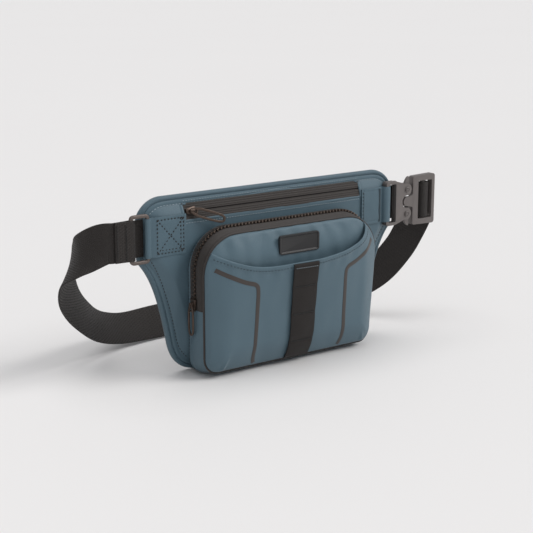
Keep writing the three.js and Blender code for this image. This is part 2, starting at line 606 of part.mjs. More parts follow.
// ---------- buckle tongue: open frame for the webbing, round nose and barbed blade ----------
const frameShape = roundedShape(tongue.leftX, tongue.rightX, -tongue.height / 2, tongue.height / 2, 3);
frameShape.holes.push(roundedShape(tongue.windowLeft, tongue.windowRight, -20.6, 20.6, 1.2));
const noseShape = new THREE.Shape();
noseShape.moveTo(178, 9);
noseShape.quadraticCurveTo(177, 5.9, 170.5, 5.9);
noseShape.absarc(170.3, 0, 5.9, Math.PI / 2, 1.5 * Math.PI, false);
noseShape.quadraticCurveTo(177, -5.9, 178, -9);
noseShape.closePath();
const bladeShape = new THREE.Shape();
bladeShape.moveTo(178, 5.4);
bladeShape.lineTo(161.4, 5.4);
bladeShape.lineTo(158.6, 3.4);
bladeShape.lineTo(158.6, -3.4);
bladeShape.lineTo(161.4, -5.4);
bladeShape.lineTo(178, -5.4);
bladeShape.closePath();
const halfTongue = tongue.thick / 2;
addPart('buckle_tongue', atBeltZ(join(
  slab(frameShape, socket.y - halfTongue, socket.y + halfTongue),
  slab(noseShape, layer.frontPlate[0], layer.frontPlate[1] + 0.5),
  slab(bladeShape, layer.middle[0] - 0.1, layer.middle[1]))), 'metal');

const barX = (tongue.windowLeft + tongue.windowRight) / 2;
addPart('tongue_bar', new THREE.CylinderGeometry(1.8, 1.8, 40.8, 14).rotateX(Math.PI / 2)
  .translate(barX, socket.y, beltZ), 'steel');
const wrapRing = new THREE.Shape();
wrapRing.absellipse(barX, socket.y, 6.2, 4.2, 0, 2 * Math.PI);
const barRoom = new THREE.Path();
barRoom.absarc(barX, socket.y, 2.2, 0, 2 * Math.PI);
wrapRing.holes.push(barRoom);
addPart('belt_tongue_wrap', column(wrapRing, beltZ - webWidth / 2, beltZ + webWidth / 2, 10), 'webbing');

export default bag;
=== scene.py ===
# Belt bag: nylon pouch and slip pocket on a padded, bound back panel, with a webbing belt,
# a plain ring on the left and a cast side-release buckle on the right.
# Settings are in millimetres; meshes are in metres.
import bpy
import math
from mathutils import Matrix, Vector, noise


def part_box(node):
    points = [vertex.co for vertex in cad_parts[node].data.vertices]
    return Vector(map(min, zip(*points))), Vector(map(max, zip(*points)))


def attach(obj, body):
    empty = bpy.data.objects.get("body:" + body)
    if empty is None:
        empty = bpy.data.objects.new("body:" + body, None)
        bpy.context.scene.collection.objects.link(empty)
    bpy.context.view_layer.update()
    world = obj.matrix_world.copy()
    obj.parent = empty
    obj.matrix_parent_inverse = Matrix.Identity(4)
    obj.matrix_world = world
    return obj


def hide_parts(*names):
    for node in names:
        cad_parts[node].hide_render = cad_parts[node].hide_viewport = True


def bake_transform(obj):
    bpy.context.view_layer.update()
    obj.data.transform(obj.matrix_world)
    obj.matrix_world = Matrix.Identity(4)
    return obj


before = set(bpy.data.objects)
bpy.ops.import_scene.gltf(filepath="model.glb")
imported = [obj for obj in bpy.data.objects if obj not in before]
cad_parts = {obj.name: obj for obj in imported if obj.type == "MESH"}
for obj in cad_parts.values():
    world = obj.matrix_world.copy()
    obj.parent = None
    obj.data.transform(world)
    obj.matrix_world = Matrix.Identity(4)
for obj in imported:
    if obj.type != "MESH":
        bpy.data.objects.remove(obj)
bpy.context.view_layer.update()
mm = 0.001
scene = bpy.context.scene


# ---- small tools ----

def clearSelection():
    bpy.ops.object.select_all(action='DESELECT')


def pickOnly(piece):
    clearSelection()
    piece.select_set(True)
    bpy.context.view_layer.objects.active = piece


def cadBox(node):
    low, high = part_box(node)
    return Vector(low) / mm, Vector(high) / mm


def applyModifier(piece, kind, **values):
    pickOnly(piece)
    modifier = piece.modifiers.new(kind.title(), kind)
    for key, value in values.items():
        setattr(modifier, key, value)
    bpy.ops.object.modifier_apply(modifier=modifier.name)


def weld(piece, cap=False):
    pickOnly(piece)
    bpy.ops.object.mode_set(mode='EDIT')
    bpy.ops.mesh.select_all(action='SELECT')
    bpy.ops.mesh.remove_doubles(threshold=0.00001)
    if cap:
        bpy.ops.mesh.fill_holes(sides=0)
    bpy.ops.mesh.normals_make_consistent(inside=False)
    bpy.ops.object.mode_set(mode='OBJECT')


# A grid whose points are moved to place(u, v); its UV map is in metres of cloth.
def gridPiece(name, columns, rows, place, size=(1, 1), closed=False, cap=False):
    clearSelection()
    bpy.ops.mesh.primitive_grid_add(x_subdivisions=columns, y_subdivisions=rows, size=2)
    piece = bpy.context.object
    piece.name = name
    piece.data.name = name
    for v in piece.data.vertices:
        v.co = Vector(place((v.co.x + 1) / 2, (v.co.y + 1) / 2)) * mm
    for corner in piece.data.uv_layers.active.data:
        corner.uv = (corner.uv.x * size[0] * mm, corner.uv.y * size[1] * mm)
    if closed:
        weld(piece, cap)
    return piece


# Gives an open sheet its thickness on the side away from outward(centre).
def thicken(piece, thickness, outward):
    facing = sum(f.normal.dot(outward(f.center / mm)) * f.area for f in piece.data.polygons)
    if facing < 0:
        piece.data.flip_normals()
    applyModifier(piece, 'SOLIDIFY', thickness=thickness * mm, offset=-1)


def finishPiece(piece, body, material, replaced=(), angle=40):
    piece.data.materials.clear()
    piece.data.materials.append(material)
    pickOnly(piece)
    bpy.ops.object.shade_smooth_by_angle(angle=math.radians(angle))
    if body:
        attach(piece, body)
    if replaced:
        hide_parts(*replaced)
    return piece


def smoothStep(x):
    x = min(max(x, 0), 1)
    return x * x * (3 - 2 * x)


def bump(x, width):
    return math.exp(-(x / width) ** 2)


def ripple(x, z, scale, seed):
    return noise.noise(Vector((x / scale, z / scale, seed)))


# Closed outline of a rounded rectangle, as (a, b) pairs with the first point repeated.
def roundedRing(halfA, halfB, radius, flatA=1, flatB=1, cornerSteps=3):
    ring = []
    corners = ((1, 1, 0, flatA), (-1, 1, 90, flatB), (-1, -1, 180, flatA), (1, -1, 270, flatB))
    for sx, sy, start, flat in corners:
        cx, cy = sx * (halfA - radius), sy * (halfB - radius)
        for k in range(cornerSteps + 1):
            a = math.radians(start + 90 * k / cornerSteps)
            ring.append(Vector((cx + radius * math.cos(a), cy + radius * math.sin(a))))
        nextCorner = {(1, 1): (-1, 1), (-1, 1): (-1, -1), (-1, -1): (1, -1), (1, -1): (1, 1)}[(sx, sy)]
        nx, ny = nextCorner[0] * (halfA - radius), nextCorner[1] * (halfB - radius)
        a = math.radians(start + 90)
        endPoint = Vector((nx + radius * math.cos(a), ny + radius * math.sin(a)))
        for k in range(1, flat):
            ring.append(ring[-1].lerp(endPoint, 1 / (flat - k + 1)))
    ring.append(ring[0].copy())
    return ring


# A section carried along stations of (origin, first axis, second axis).
def sweepPiece(name, stations, section, length, closedPath=False):
    columns, rows = len(stations) - 1, len(section) - 1
    around = sum((section[i + 1] - section[i]).length for i in range(rows))

    def place(u, v):
        origin, axisA, axisB = stations[round(u * columns)]
        a, b = section[round(v * rows)]
        return origin + axisA * a + axisB * b
    return gridPiece(name, columns, rows, place, (length, around), True, not closedPath)


def pathFrames(points, side, closedPath=False):
    frames = []
    last = len(points) - 1
    for i, p in enumerate(points):
        before = points[i - 1] if i > 0 else (points[last - 1] if closedPath else p)
        after = points[i + 1] if i < last else (points[1] if closedPath else p)
        along = (after - before).normalized()
        across = (side - along * side.dot(along)).normalized()
        frames.append((p, along.cross(across), across))
    return frames


def pathLength(points):
    return sum((points[i + 1] - points[i]).length for i in range(len(points) - 1))


# A CAD node's shape with its facets merged and its edges rounded.
# Side faces left of trimTo are first cut back by trim.
def bevelledCopy(node, name, width, segments=2, trim=0, trimTo=0):
    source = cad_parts[node]
    piece = bpy.data.objects.new(name, source.data.copy())
    scene.collection.objects.link(piece)
    piece.data.transform(source.matrix_world)
    piece.data.name = name
    pickOnly(piece)
    bpy.ops.object.mode_set(mode='EDIT')
    bpy.ops.mesh.select_all(action='SELECT')
    bpy.ops.mesh.remove_doubles(threshold=0.00001)
    bpy.ops.mesh.dissolve_limited(angle_limit=math.radians(1))
    bpy.ops.object.mode_set(mode='OBJECT')
    if trim:
        push = {v.index: Vector() for v in piece.data.vertices if v.co.x < trimTo * mm}
        for face in piece.data.polygons:
            for i in face.vertices:
                if i in push and abs(face.normal.y) < 0.5:
                    push[i] += face.normal
        for i, side in push.items():
            piece.data.vertices[i].co -= side.normalized() * trim * mm
    applyModifier(piece, 'BEVEL', width=width * mm, segments=segments, limit_method='ANGLE',
                  angle_limit=math.radians(40), harden_normals=False)
    return piece


# ---- sewing thread: one stitch, copied along a row ----
thread = {"pitch": 3.4, "long": 2.3, "thick": 0.75, "sink": 0.1}


def stitchTemplate():
    clearSelection()
    bpy.ops.mesh.primitive_uv_sphere_add(segments=6, ring_count=5, radius=1)
    stitch = bpy.context.object
    points = [v.co.copy() for v in stitch.data.vertices]
    faces = [tuple(f.vertices) for f in stitch.data.polygons]
    bpy.data.objects.remove(stitch)
    return points, faces


stitchPoints, stitchFaces = stitchTemplate()


# places is a list of (point, outward normal) along the row.
def stitchRow(name, places, body, material, pitch=thread["pitch"], long=thread["long"],
              thick=thread["thick"]):
    points, faces = [], []
    travelled, due = 0.0, pitch / 2
    for (p0, n0), (p1, n1) in zip(places, places[1:]):
        span = (p1 - p0).length
        while span > 0 and due <= travelled + span:
            t = (due - travelled) / span
            along = (p1 - p0).normalized()
            out = n0.lerp(n1, t)
            out = (out - along * out.dot(along)).normalized()
            side = out.cross(along)
            centre = p0.lerp(p1, t) + out * thread["sink"]
            first = len(points)
            for q in stitchPoints:
                lift = -0.25 * thick * q.z ** 2
                points.append((centre + along * (q.z * long / 2) + side * (q.x * thick / 2)
                               + out * (q.y * thick * 0.5 + lift)) * mm)
            faces += [tuple(first + i for i in f) for f in stitchFaces]
            due += pitch
        travelled += span
    mesh = bpy.data.meshes.new(name)
    mesh.from_pydata(points, [], faces)
    row = bpy.data.objects.new(name, mesh)
    scene.collection.objects.link(row)
    pickOnly(row)
    bpy.ops.object.mode_set(mode='EDIT')
    bpy.ops.mesh.select_all(action='SELECT')
    bpy.ops.mesh.normals_make_consistent(inside=False)
    bpy.ops.object.mode_set(mode='OBJECT')
    return finishPiece(row, body, material, angle=80)


# ---- shader groups ----

def newGroup(name, inputs, outputs):
    group = bpy.data.node_groups.new(name, 'ShaderNodeTree')
    for label, kind, value in inputs:
        socket = group.interface.new_socket(label, in_out='INPUT', socket_type=kind)
        if value is not None:
            socket.default_value = value
    for label, kind in outputs:
        group.interface.new_socket(label, in_out='OUTPUT', socket_type=kind)
    return group, group.nodes.new('NodeGroupInput'), group.nodes.new('NodeGroupOutput')


def mathNode(tree, kind, first, second=None):
    node = tree.nodes.new('ShaderNodeMath')
    node.operation = kind
    for socket, value in zip(node.inputs, (first, second)):
        if isinstance(value, bpy.types.NodeSocket):
            tree.links.new(value, socket)
        elif value is not None:
            socket.default_value = value
    return node.outputs[0]


# Plain weave over a flat coordinate in metres: threads cross over and under in turn.
def buildWeaveGroup():
    group, given, result = newGroup(
        "threadWeave",
        [("Vector", 'NodeSocketVector', None), ("Warp", 'NodeSocketFloat', 2000.0),
         ("Weft", 'NodeSocketFloat', 2000.0)],
        [("Height", 'NodeSocketFloat'), ("Shade", 'NodeSocketFloat')])
    parts = group.nodes.new('ShaderNodeSeparateXYZ')
    group.links.new(given.outputs["Vector"], parts.inputs[0])
    waves = []
    for axis, label in (("X", "Warp"), ("Y", "Weft")):
        angle = mathNode(group, 'MULTIPLY', parts.outputs[axis], given.outputs[label])
        waves.append(mathNode(group, 'SINE', mathNode(group, 'MULTIPLY', angle, math.pi)))
    over = mathNode(group, 'GREATER_THAN', mathNode(group, 'MULTIPLY', waves[0], waves[1]), 0.0)
    mix = group.nodes.new('ShaderNodeMix')
    group.links.new(over, mix.inputs["Factor"])
    group.links.new(mathNode(group, 'ABSOLUTE', waves[0]), mix.inputs["A"])
    group.links.new(mathNode(group, 'ABSOLUTE', waves[1]), mix.inputs["B"])
    group.links.new(mix.outputs["Result"], result.inputs["Height"])
    # Shade is painted shade: it is low for the weave's sunk parts between threads, which are then coloured
    # darker.
    group.links.new(mathNode(group, 'POWER', mix.outputs["Result"], 0.6), result.inputs["Shade"])
    return group


# Slow cloudy change of tone, with a finer grain over it.
def buildCloudGroup():
    group, given, result = newGroup(
        "cloudAndGrain",
        [("Vector", 'NodeSocketVector', None), ("Cloud Scale", 'NodeSocketFloat', 18.0),
         ("Grain Scale", 'NodeSocketFloat', 900.0)],
        [("Cloud", 'NodeSocketFloat'), ("Grain", 'NodeSocketFloat')])
    for label, detail in (("Cloud", 3.0), ("Grain", 2.0)):
        tex = group.nodes.new('ShaderNodeTexNoise')
        tex.inputs["Detail"].default_value = detail
        group.links.new(given.outputs["Vector"], tex.inputs["Vector"])
        group.links.new(given.outputs[f"{label} Scale"], tex.inputs["Scale"])
        group.links.new(tex.outputs["Fac"], result.inputs[label])
    return group


# Bright worn edges, from the curvature that the geometry carries.
def buildEdgeGroup():
    group, given, result = newGroup(
        "edgeWear", [("Vector", 'NodeSocketVector', None), ("Break Up", 'NodeSocketFloat', 160.0)],
        [("Edge", 'NodeSocketFloat')])
    geometry = group.nodes.new('ShaderNodeNewGeometry')
    tex = group.nodes.new('ShaderNodeTexNoise')
    group.links.new(given.outputs["Vector"], tex.inputs["Vector"])
    group.links.new(given.outputs["Break Up"], tex.inputs["Scale"])
    sharp = group.nodes.new('ShaderNodeMapRange')
    sharp.inputs["From Min"].default_value = 0.5
    sharp.inputs["From Max"].default_value = 0.62
    group.links.new(geometry.outputs["Pointiness"], sharp.inputs["Value"])
    edge = mathNode(group, 'MULTIPLY', sharp.outputs["Result"], tex.outputs["Fac"])
    group.links.new(edge, result.inputs["Edge"])
    return group


weaveGroup = buildWeaveGroup()
cloudGroup = buildCloudGroup()
edgeGroup = buildEdgeGroup()


def newMaterial(name, colour, roughness, metallic=0.0):
    material = bpy.data.materials.new(name)
    material.use_nodes = True
    tree = material.node_tree
    shader = tree.nodes["Principled BSDF"]
    shader.inputs["Base Color"].default_value = (*colour, 1)
    shader.inputs["Roughness"].default_value = roughness
    shader.inputs["Metallic"].default_value = metallic
    return material, tree, shader


def coordinate(tree, kind):
    return tree.nodes.new('ShaderNodeTexCoord').outputs[kind]


def placeGroup(tree, group, vector, **values):
    node = tree.nodes.new('ShaderNodeGroup')
    node.node_tree = group
    tree.links.new(vector, node.inputs["Vector"])
    for key, value in values.items():
        node.inputs[key.replace("_", " ")].default_value = value
    return node


def mixColours(tree, factor, dark, light):
    mix = tree.nodes.new('ShaderNodeMix')
    mix.data_type = 'RGBA'
    tree.links.new(factor, mix.inputs["Factor"])
    for socket, value in ((mix.inputs[6], dark), (mix.inputs[7], light)):
        if isinstance(value, bpy.types.NodeSocket):
            tree.links.new(value, socket)
        else:
            socket.default_value = (*value, 1)
    return mix.outputs[2]


def rangeOf(tree, value, low, high, fromLow=0.0, fromHigh=1.0):
    node = tree.nodes.new('ShaderNodeMapRange')
    tree.links.new(value, node.inputs["Value"])
    node.inputs["From Min"].default_value = fromLow
    node.inputs["From Max"].default_value = fromHigh
    node.inputs["To Min"].default_value = low
    node.inputs["To Max"].default_value = high
    return node.outputs["Result"]


def addBumps(tree, shader, layers):
    normal = None
    for height, depth in layers:
        node = tree.nodes.new('ShaderNodeBump')
        node.inputs["Distance"].default_value = depth * mm
        node.inputs["Strength"].default_value = 1.0
        tree.links.new(height, node.inputs["Height"])
        if normal:
            tree.links.new(normal, node.inputs["Normal"])
        normal = node.outputs["Normal"]
    tree.links.new(normal, shader.inputs["Normal"])


def scaled(colour, factor):
    return tuple(c * factor for c in colour)


# Cloth of any kind: weave at its real thread count with painted shade in its low parts, cloudy tone, soft
# sheen.
def clothMaterial(name, colour, roughness, warp, weft, depth, vector='UV', sheen=0.12, cloud=0.12,
                  specular=0.35):
    material, tree, shader = newMaterial(name, colour, roughness)
    weave = placeGroup(tree, weaveGroup, coordinate(tree, vector), Warp=warp, Weft=weft)
    tone = placeGroup(tree, cloudGroup, coordinate(tree, 'Object'))
    base = mixColours(tree, tone.outputs["Cloud"], scaled(colour, 1 - cloud), scaled(colour, 1 + cloud))
    # painted shade: the colour falls to 0.72 of itself where the weave lies low between threads
    shade = rangeOf(tree, weave.outputs["Shade"], 0.0, 1.0)
    tree.links.new(mixColours(tree, shade, scaled(colour, 0.72), base), shader.inputs["Base Color"])
    rough = rangeOf(tree, tone.outputs["Cloud"], roughness - 0.06, roughness + 0.08)
    tree.links.new(rough, shader.inputs["Roughness"])
    addBumps(tree, shader, [(weave.outputs["Height"], depth), (tone.outputs["Grain"], depth * 0.35)])
    shader.inputs["Sheen Weight"].default_value = sheen
    shader.inputs["Sheen Roughness"].default_value = 0.5
    shader.inputs["Specular IOR Level"].default_value = specular
    return material


def metalMaterial(name, colour, roughness, metallic, edge=0.35, grainDepth=0.02):
    material, tree, shader = newMaterial(name, colour, roughness, metallic)
    objectPlace = coordinate(tree, 'Object')
    wear = placeGroup(tree, edgeGroup, objectPlace)
    tone = placeGroup(tree, cloudGroup, objectPlace, Cloud_Scale=60.0, Grain_Scale=2600.0)
    base = mixColours(tree, tone.outputs["Cloud"], scaled(colour, 0.9), scaled(colour, 1.1))
    edgeMask = rangeOf(tree, wear.outputs["Edge"], 0.0, edge)
    tree.links.new(mixColours(tree, edgeMask, base, scaled(colour, 2.4)), shader.inputs["Base Color"])
    rough = rangeOf(tree, tone.outputs["Grain"], roughness - 0.06, roughness + 0.08)
    tree.links.new(rough, shader.inputs["Roughness"])
    addBumps(tree, shader, [(tone.outputs["Grain"], grainDepth)])
    return material


nylonColour = (0.085, 0.142, 0.178)
webColour = (0.025, 0.0205, 0.0185)
nylonCloth = clothMaterial("coatedNylon", nylonColour, 0.52, 2900, 2900, 0.02, sheen=0.1, cloud=0.07)
bindingCloth = clothMaterial("bindingNylon", scaled(nylonColour, 0.92), 0.55, 2400, 2400, 0.03)
padCloth = clothMaterial("spacerMesh", (0.03, 0.036, 0.042), 0.85, 620, 620, 0.25, vector='Object', sheen=0.3)
liningCloth = clothMaterial("pouchLining", (0.05, 0.055, 0.06), 0.7, 1800, 1800, 0.03, vector='Object')
webCloth = clothMaterial("beltWebbing", scaled(webColour, 0.92), 0.58, 430, 820, 0.34,
                         sheen=0.08, cloud=0.2, specular=0.3)
ladderCloth = clothMaterial("ladderWebbing", scaled(webColour, 0.72), 0.66, 1000, 520, 0.16,
                            sheen=0.06, specular=0.25)
tapeCloth = clothMaterial("zipTape", (0.035, 0.029, 0.026), 0.6, 1900, 1200, 0.05, sheen=0.12)
stripeFilm = clothMaterial("bondedFilm", (0.045, 0.036, 0.032), 0.36, 3200, 3200, 0.006,
                           sheen=0.0, specular=0.5)
threadCloth = clothMaterial("sewingThread", scaled(nylonColour, 0.42), 0.6, 4000, 1500, 0.04, vector='Object')
paleThread = clothMaterial("paleThread", (0.33, 0.4, 0.44), 0.6, 4000, 1500, 0.04, vector='Object')
darkThread = clothMaterial("darkThread", (0.018, 0.017, 0.017), 0.6, 4000, 1500, 0.04, vector='Object')
labelRubber = metalMaterial("labelRubber", (0.012, 0.012, 0.013), 0.36, 0.0, edge=0.3, grainDepth=0.03)
buckleMetal = metalMaterial("buckleCasting", (0.15, 0.135, 0.13), 0.48, 0.35, edge=0.25, grainDepth=0.03)
ringMetal = metalMaterial("ringEnamel", (0.12, 0.098, 0.088), 0.42, 0.4, edge=0.35)
zipMetal = metalMaterial("gunmetal", (0.085, 0.062, 0.05), 0.34, 0.7, edge=0.4)
toothMetal = metalMaterial("zipTeeth", (0.16, 0.125, 0.105), 0.27, 0.85, edge=0.5)
springMetal = metalMaterial("springWire", (0.5, 0.5, 0.5), 0.3, 1.0)
print("materials ready")


# ---- back panel: outline, rolled binding, outer skin with its zip, padded body side ----
panelLow, panelHigh = cadBox("edge_binding")
panel = {
    "halfTop": 130, "halfFoot": 124, "halfWing": panelHigh.x, "height": panelHigh.z,
    "front": panelLow.y, "back": panelHigh.y,
    "bindingWidth": 5.0,        # how far the rolled edge reaches inwards
    "skinFront": 13.0, "skinEdge": 19.0, "slopeStart": 5.6, "slopeWidth": 15.0,
    "stitchIn": 8.8,            # the row of sewing, this far inside the outline
    "wrinkle": 1.5,
}
zipPlane = {"halfLength": 107.0, "y": 15.9, "z": 158.5, "tilt": 0.3, "halfWidth": 7.5, "slit": 0.5}


def bezier(a, b, c, d, count):
    return [a * (1 - t) ** 3 + b * 3 * t * (1 - t) ** 2 + c * 3 * t * t * (1 - t) + d * t ** 3
            for t in (k / count for k in range(count))]


def straight(a, b, count):
    return [a.lerp(b, k / count) for k in range(count)]


# The panel's outline moved inwards by d, from the middle of the foot round to it again.
def panelRing(d):
    def p(x, z):
        return Vector((x, z))
    halfTop, halfFoot, halfWing, top = (panel[k] for k in ("halfTop", "halfFoot", "halfWing", "height"))
    foot = p(84 - 0.2 * d, d)
    knee = p(halfFoot - d, 30 + 0.3 * d)
    underWing = p(halfWing - 2 - 0.9 * d, 112 + 0.67 * d)
    wingLow = p(halfWing - d, 128 + 0.2 * d)
    wingHigh = p(halfWing - d, top - 18 - 0.2 * d)
    shoulder = p(min(halfTop, halfWing - 8) - 0.25 * d, top - d)
    right = straight(p(0, d), foot, 26)
    right += bezier(foot, p(106 - 0.9 * d, d), p(119 - d, 8 + 0.7 * d), knee, 20)
    right += bezier(knee, p(130 - d, 62), p(137 - d, 94 + 0.3 * d), underWing, 24)
    right += bezier(underWing, p(halfWing + 1 - d, 116 + 0.6 * d), p(halfWing - d, 122 + 0.3 * d), wingLow, 8)
    right += straight(wingLow, wingHigh, 10)
    right += bezier(wingHigh, p(halfWing - 5 - 0.9 * d, top - 7 - 0.7 * d),
                    p(min(141, halfWing - 4) - 0.5 * d, top - 1 - d), shoulder, 14)
    right += straight(shoulder, p(0, top - d), 38) + [p(0, top - d)]
    return right + [p(-q.x, q.y) for q in right[-2::-1]]


outerRing = panelRing(0)
ringCount = len(outerRing) - 1
halfProfile = sorted(((q.y, q.x) for q in outerRing if q.x > 60), key=lambda pair: pair[0])


def panelHalfWidth(z):
    for (z0, x0), (z1, x1) in zip(halfProfile, halfProfile[1:]):
        if z0 <= z <= z1 and z1 > z0:
            return x0 + (x1 - x0) * (z - z0) / (z1 - z0)
    return halfProfile[0][1] if z < halfProfile[0][0] else panel["halfTop"]


# How far inside the panel's outline a point lies.
def insideOutline(x, z):
    side = (panelHalfWidth(z) - abs(x)) * 0.93
    top, foot = panel["height"] - z, z
    return -math.log(math.exp(-side / 4) + math.exp(-top / 4) + math.exp(-foot / 4)) * 4


def skinWrinkle(x, z, inside):
    soft = ripple(x, z, 46, 3.1) + 0.5 * ripple(x, z * 0.6, 17, 9.4)
    low = smoothStep((150 - z) / 40)
    pull = math.sin((abs(x) + 0.25 * z) / 6.5) * bump(abs(x) - 124, 9) * smoothStep((118 - z) / 30)
    return panel["wrinkle"] * smoothStep((inside - 6) / 12) * (soft * (0.25 + 0.75 * low) + 0.75 * pull)


def skinY(x, z):
    inside = insideOutline(x, z)
    rise = smoothStep((inside - panel["slopeStart"]) / panel["slopeWidth"])
    linear = min(max((inside - panel["slopeStart"]) / panel["slopeWidth"], 0), 1)
    y = panel["skinEdge"] - (panel["skinEdge"] - panel["skinFront"]) * (0.45 * rise + 0.55 * linear)
    y += 0.45 * bump(inside - panel["stitchIn"], 1.0)
    y -= 0.5 * bump(inside - 6.0, 1.8)
    y += 2.6 * smoothStep((5.2 - inside) / 2.4)      # the edge is caught under the binding
    return y - skinWrinkle(x, z, inside)


def makeBinding():
    inner = panelRing(panel["bindingWidth"])
    middle = (panel["front"] + panel["back"]) / 2
    halfDeep = (panel["back"] - panel["front"]) / 2
    count = 14

    def place(u, v):
        i = round(u * ringCount)
        a = 2 * math.pi * v
        reach = 0.5 - 0.5 * math.cos(a)
        flat = outerRing[i].lerp(inner[i], reach * 0.98)
        swell = 1 + 0.06 * ripple(flat.x, flat.y, 22, 5)
        depth = math.copysign(abs(math.sin(a)) ** 0.75, math.sin(a)) * halfDeep * swell
        return Vector((flat.x, middle - depth, flat.y))
    ring = gridPiece("edgeBinding", ringCount, count, place, (1000, 22), closed=True)
    finishPiece(ring, "bag", bindingCloth, ["edge_binding"])


def slotRing():
    z0 = zipPlane["z"] - zipPlane["halfWidth"] * math.cos(zipPlane["tilt"])
    z1 = 2 * zipPlane["z"] - z0
    half = zipPlane["halfLength"]
    right = straight(Vector((0, z0)), Vector((half, z0)), 76)
    right += straight(Vector((half, z0)), Vector((half, z1)), 14)
    right += straight(Vector((half, z1)), Vector((0, z1)), 50) + [Vector((0, z1))]
    return right + [Vector((-q.x, q.y)) for q in right[-2::-1]]


def makeSkin():
    outer = panelRing(2.4)
    slot = slotRing()
    rows = 74

    def place(u, v):
        i = round(u * ringCount)
        t = min(v * 1.03, 1)
        flat = outer[i].lerp(slot[i], t ** 1.15)
        if v >= 0.985:
            return Vector((flat.x, skinY(flat.x, flat.y) + 2.0, flat.y))
        lip = 0.55 * bump((flat - slot[i]).length - 1.6, 1.1)
        sewn = 0.35 * bump((flat - slot[i]).length - 3.4, 0.7)
        return Vector((flat.x, skinY(flat.x, flat.y) - lip + sewn, flat.y))
    skin = gridPiece("rearPocketSkin", ringCount, rows, place, (1000, 120), closed=True)
    thicken(skin, 0.9, lambda c: Vector((0, -1, 0)))
    for corner, vertex in zip(skin.data.uv_layers.active.data, (l.vertex_index for l in skin.data.loops)):
        co = skin.data.vertices[vertex].co
        corner.uv = (co.x, co.z)
    finishPiece(skin, "bag", nylonCloth, ["rear_pocket_front"])
    forward = Vector((0, -1, 0))
    line = [(Vector((q.x, skinY(q.x, q.y) - 0.1, q.y)), forward) for q in panelRing(panel["stitchIn"])]
    topRow = [pair for pair in line if pair[0].z > 158]
    topRow.sort(key=lambda pair: pair[0].x)
    stitchRow("edgeSewing_top", topRow, "bag", paleThread, long=2.1, thick=0.85)
    for label, sign in (("left", -1), ("right", 1)):
        sideRow = [pair for pair in line if pair[0].z <= 158 and pair[0].x * sign > 104]
        sideRow.sort(key=lambda pair: pair[0].z)
        stitchRow(f"edgeSewing_{label}", sideRow, "bag", darkThread, long=2.1, thick=0.85)
    gapRows = (("lower", zipPlane["z"] - 7.2 - 3.4), ("upper", zipPlane["z"] + 7.2 + 2.9))
    for label, z in gapRows:
        line = [(Vector((x, skinY(x, z) - 0.15, z)), Vector((0, -1, 0.2))) for x in range(-107, 108, 2)]
        stitchRow(f"zipSewing_{label}", line, "bag", paleThread, pitch=3.1, long=2.1, thick=0.7)


# Body side: a foam pad under spacer mesh, swollen by the cloth solver and then quilted.
pad = {"inset": 3.4, "front": 20.5, "back": 24.4, "voxel": 2.6, "cap": 5.0, "pressure": 4.0,
       "channels": (-62, 62), "channelDepth": 2.2, "channelWidth": 3.2}


def makePad():
    outline = panelRing(pad["inset"])

    def place(u, v):
        i = round(u * ringCount)
        spine = Vector((outline[i].x * 0.25, 90))
        if v <= 0.5:
            flat = spine.lerp(outline[i], v * 2)
            return Vector((flat.x, pad["front"], flat.y))
        flat = outline[i].lerp(spine, v * 2 - 1)
        return Vector((flat.x, pad["back"], flat.y))
    back = gridPiece("backPad", ringCount, 24, place, closed=True)
    applyModifier(back, 'REMESH', mode='VOXEL', voxel_size=pad["voxel"] * mm)
    before = [v.co.copy() for v in back.data.vertices]
    held = back.vertex_groups.new(name="held")
    for v in back.data.vertices:
        edge = insideOutline(v.co.x / mm, v.co.z / mm)
        grip = 1.0 if v.co.y / mm < pad["back"] - 1.5 or edge < 8 else 0.0
        held.add([v.index], grip, 'REPLACE')
    cloth = back.modifiers.new("Cloth", 'CLOTH')
    cloth.settings.quality = 5
    cloth.settings.use_pressure = True
    cloth.settings.uniform_pressure_force = pad["pressure"]
    cloth.settings.effector_weights.gravity = 0.0
    cloth.settings.vertex_group_mass = "held"
    cloth.point_cache.frame_start = 1
    cloth.point_cache.frame_end = 20
    for step in range(1, 21):
        scene.frame_set(step)
    pickOnly(back)
    bpy.ops.object.modifier_apply(modifier="Cloth")
    scene.frame_set(1)
    for v, start in zip(back.data.vertices, before):
        move = v.co - start
        if move.length > pad["cap"] * mm:
            v.co = start + move.normalized() * pad["cap"] * mm
    applyModifier(back, 'SUBSURF', levels=1, render_levels=1)
    for v in back.data.vertices:
        x, y, z = v.co / mm
        if y < pad["back"] - 1:
            continue
        groove = max(bump(x - c * (1 + 0.1 * math.sin(z / 50)), pad["channelWidth"]) for c in pad["channels"])
        seam = bump(insideOutline(x, z) - 19, 2.4)
        y -= pad["channelDepth"] * max(groove * smoothStep((insideOutline(x, z) - 19) / 5), 0.8 * seam)
        v.co.y = y * mm
    finishPiece(back, "bag", padCloth, ["back_pad"], angle=60)


def zipPoint(x, y, z):
    tilt = zipPlane["tilt"]
    return Vector((x, zipPlane["y"] + y * math.cos(tilt) + z * math.sin(tilt),
                   zipPlane["z"] - y * math.sin(tilt) + z * math.cos(tilt)))


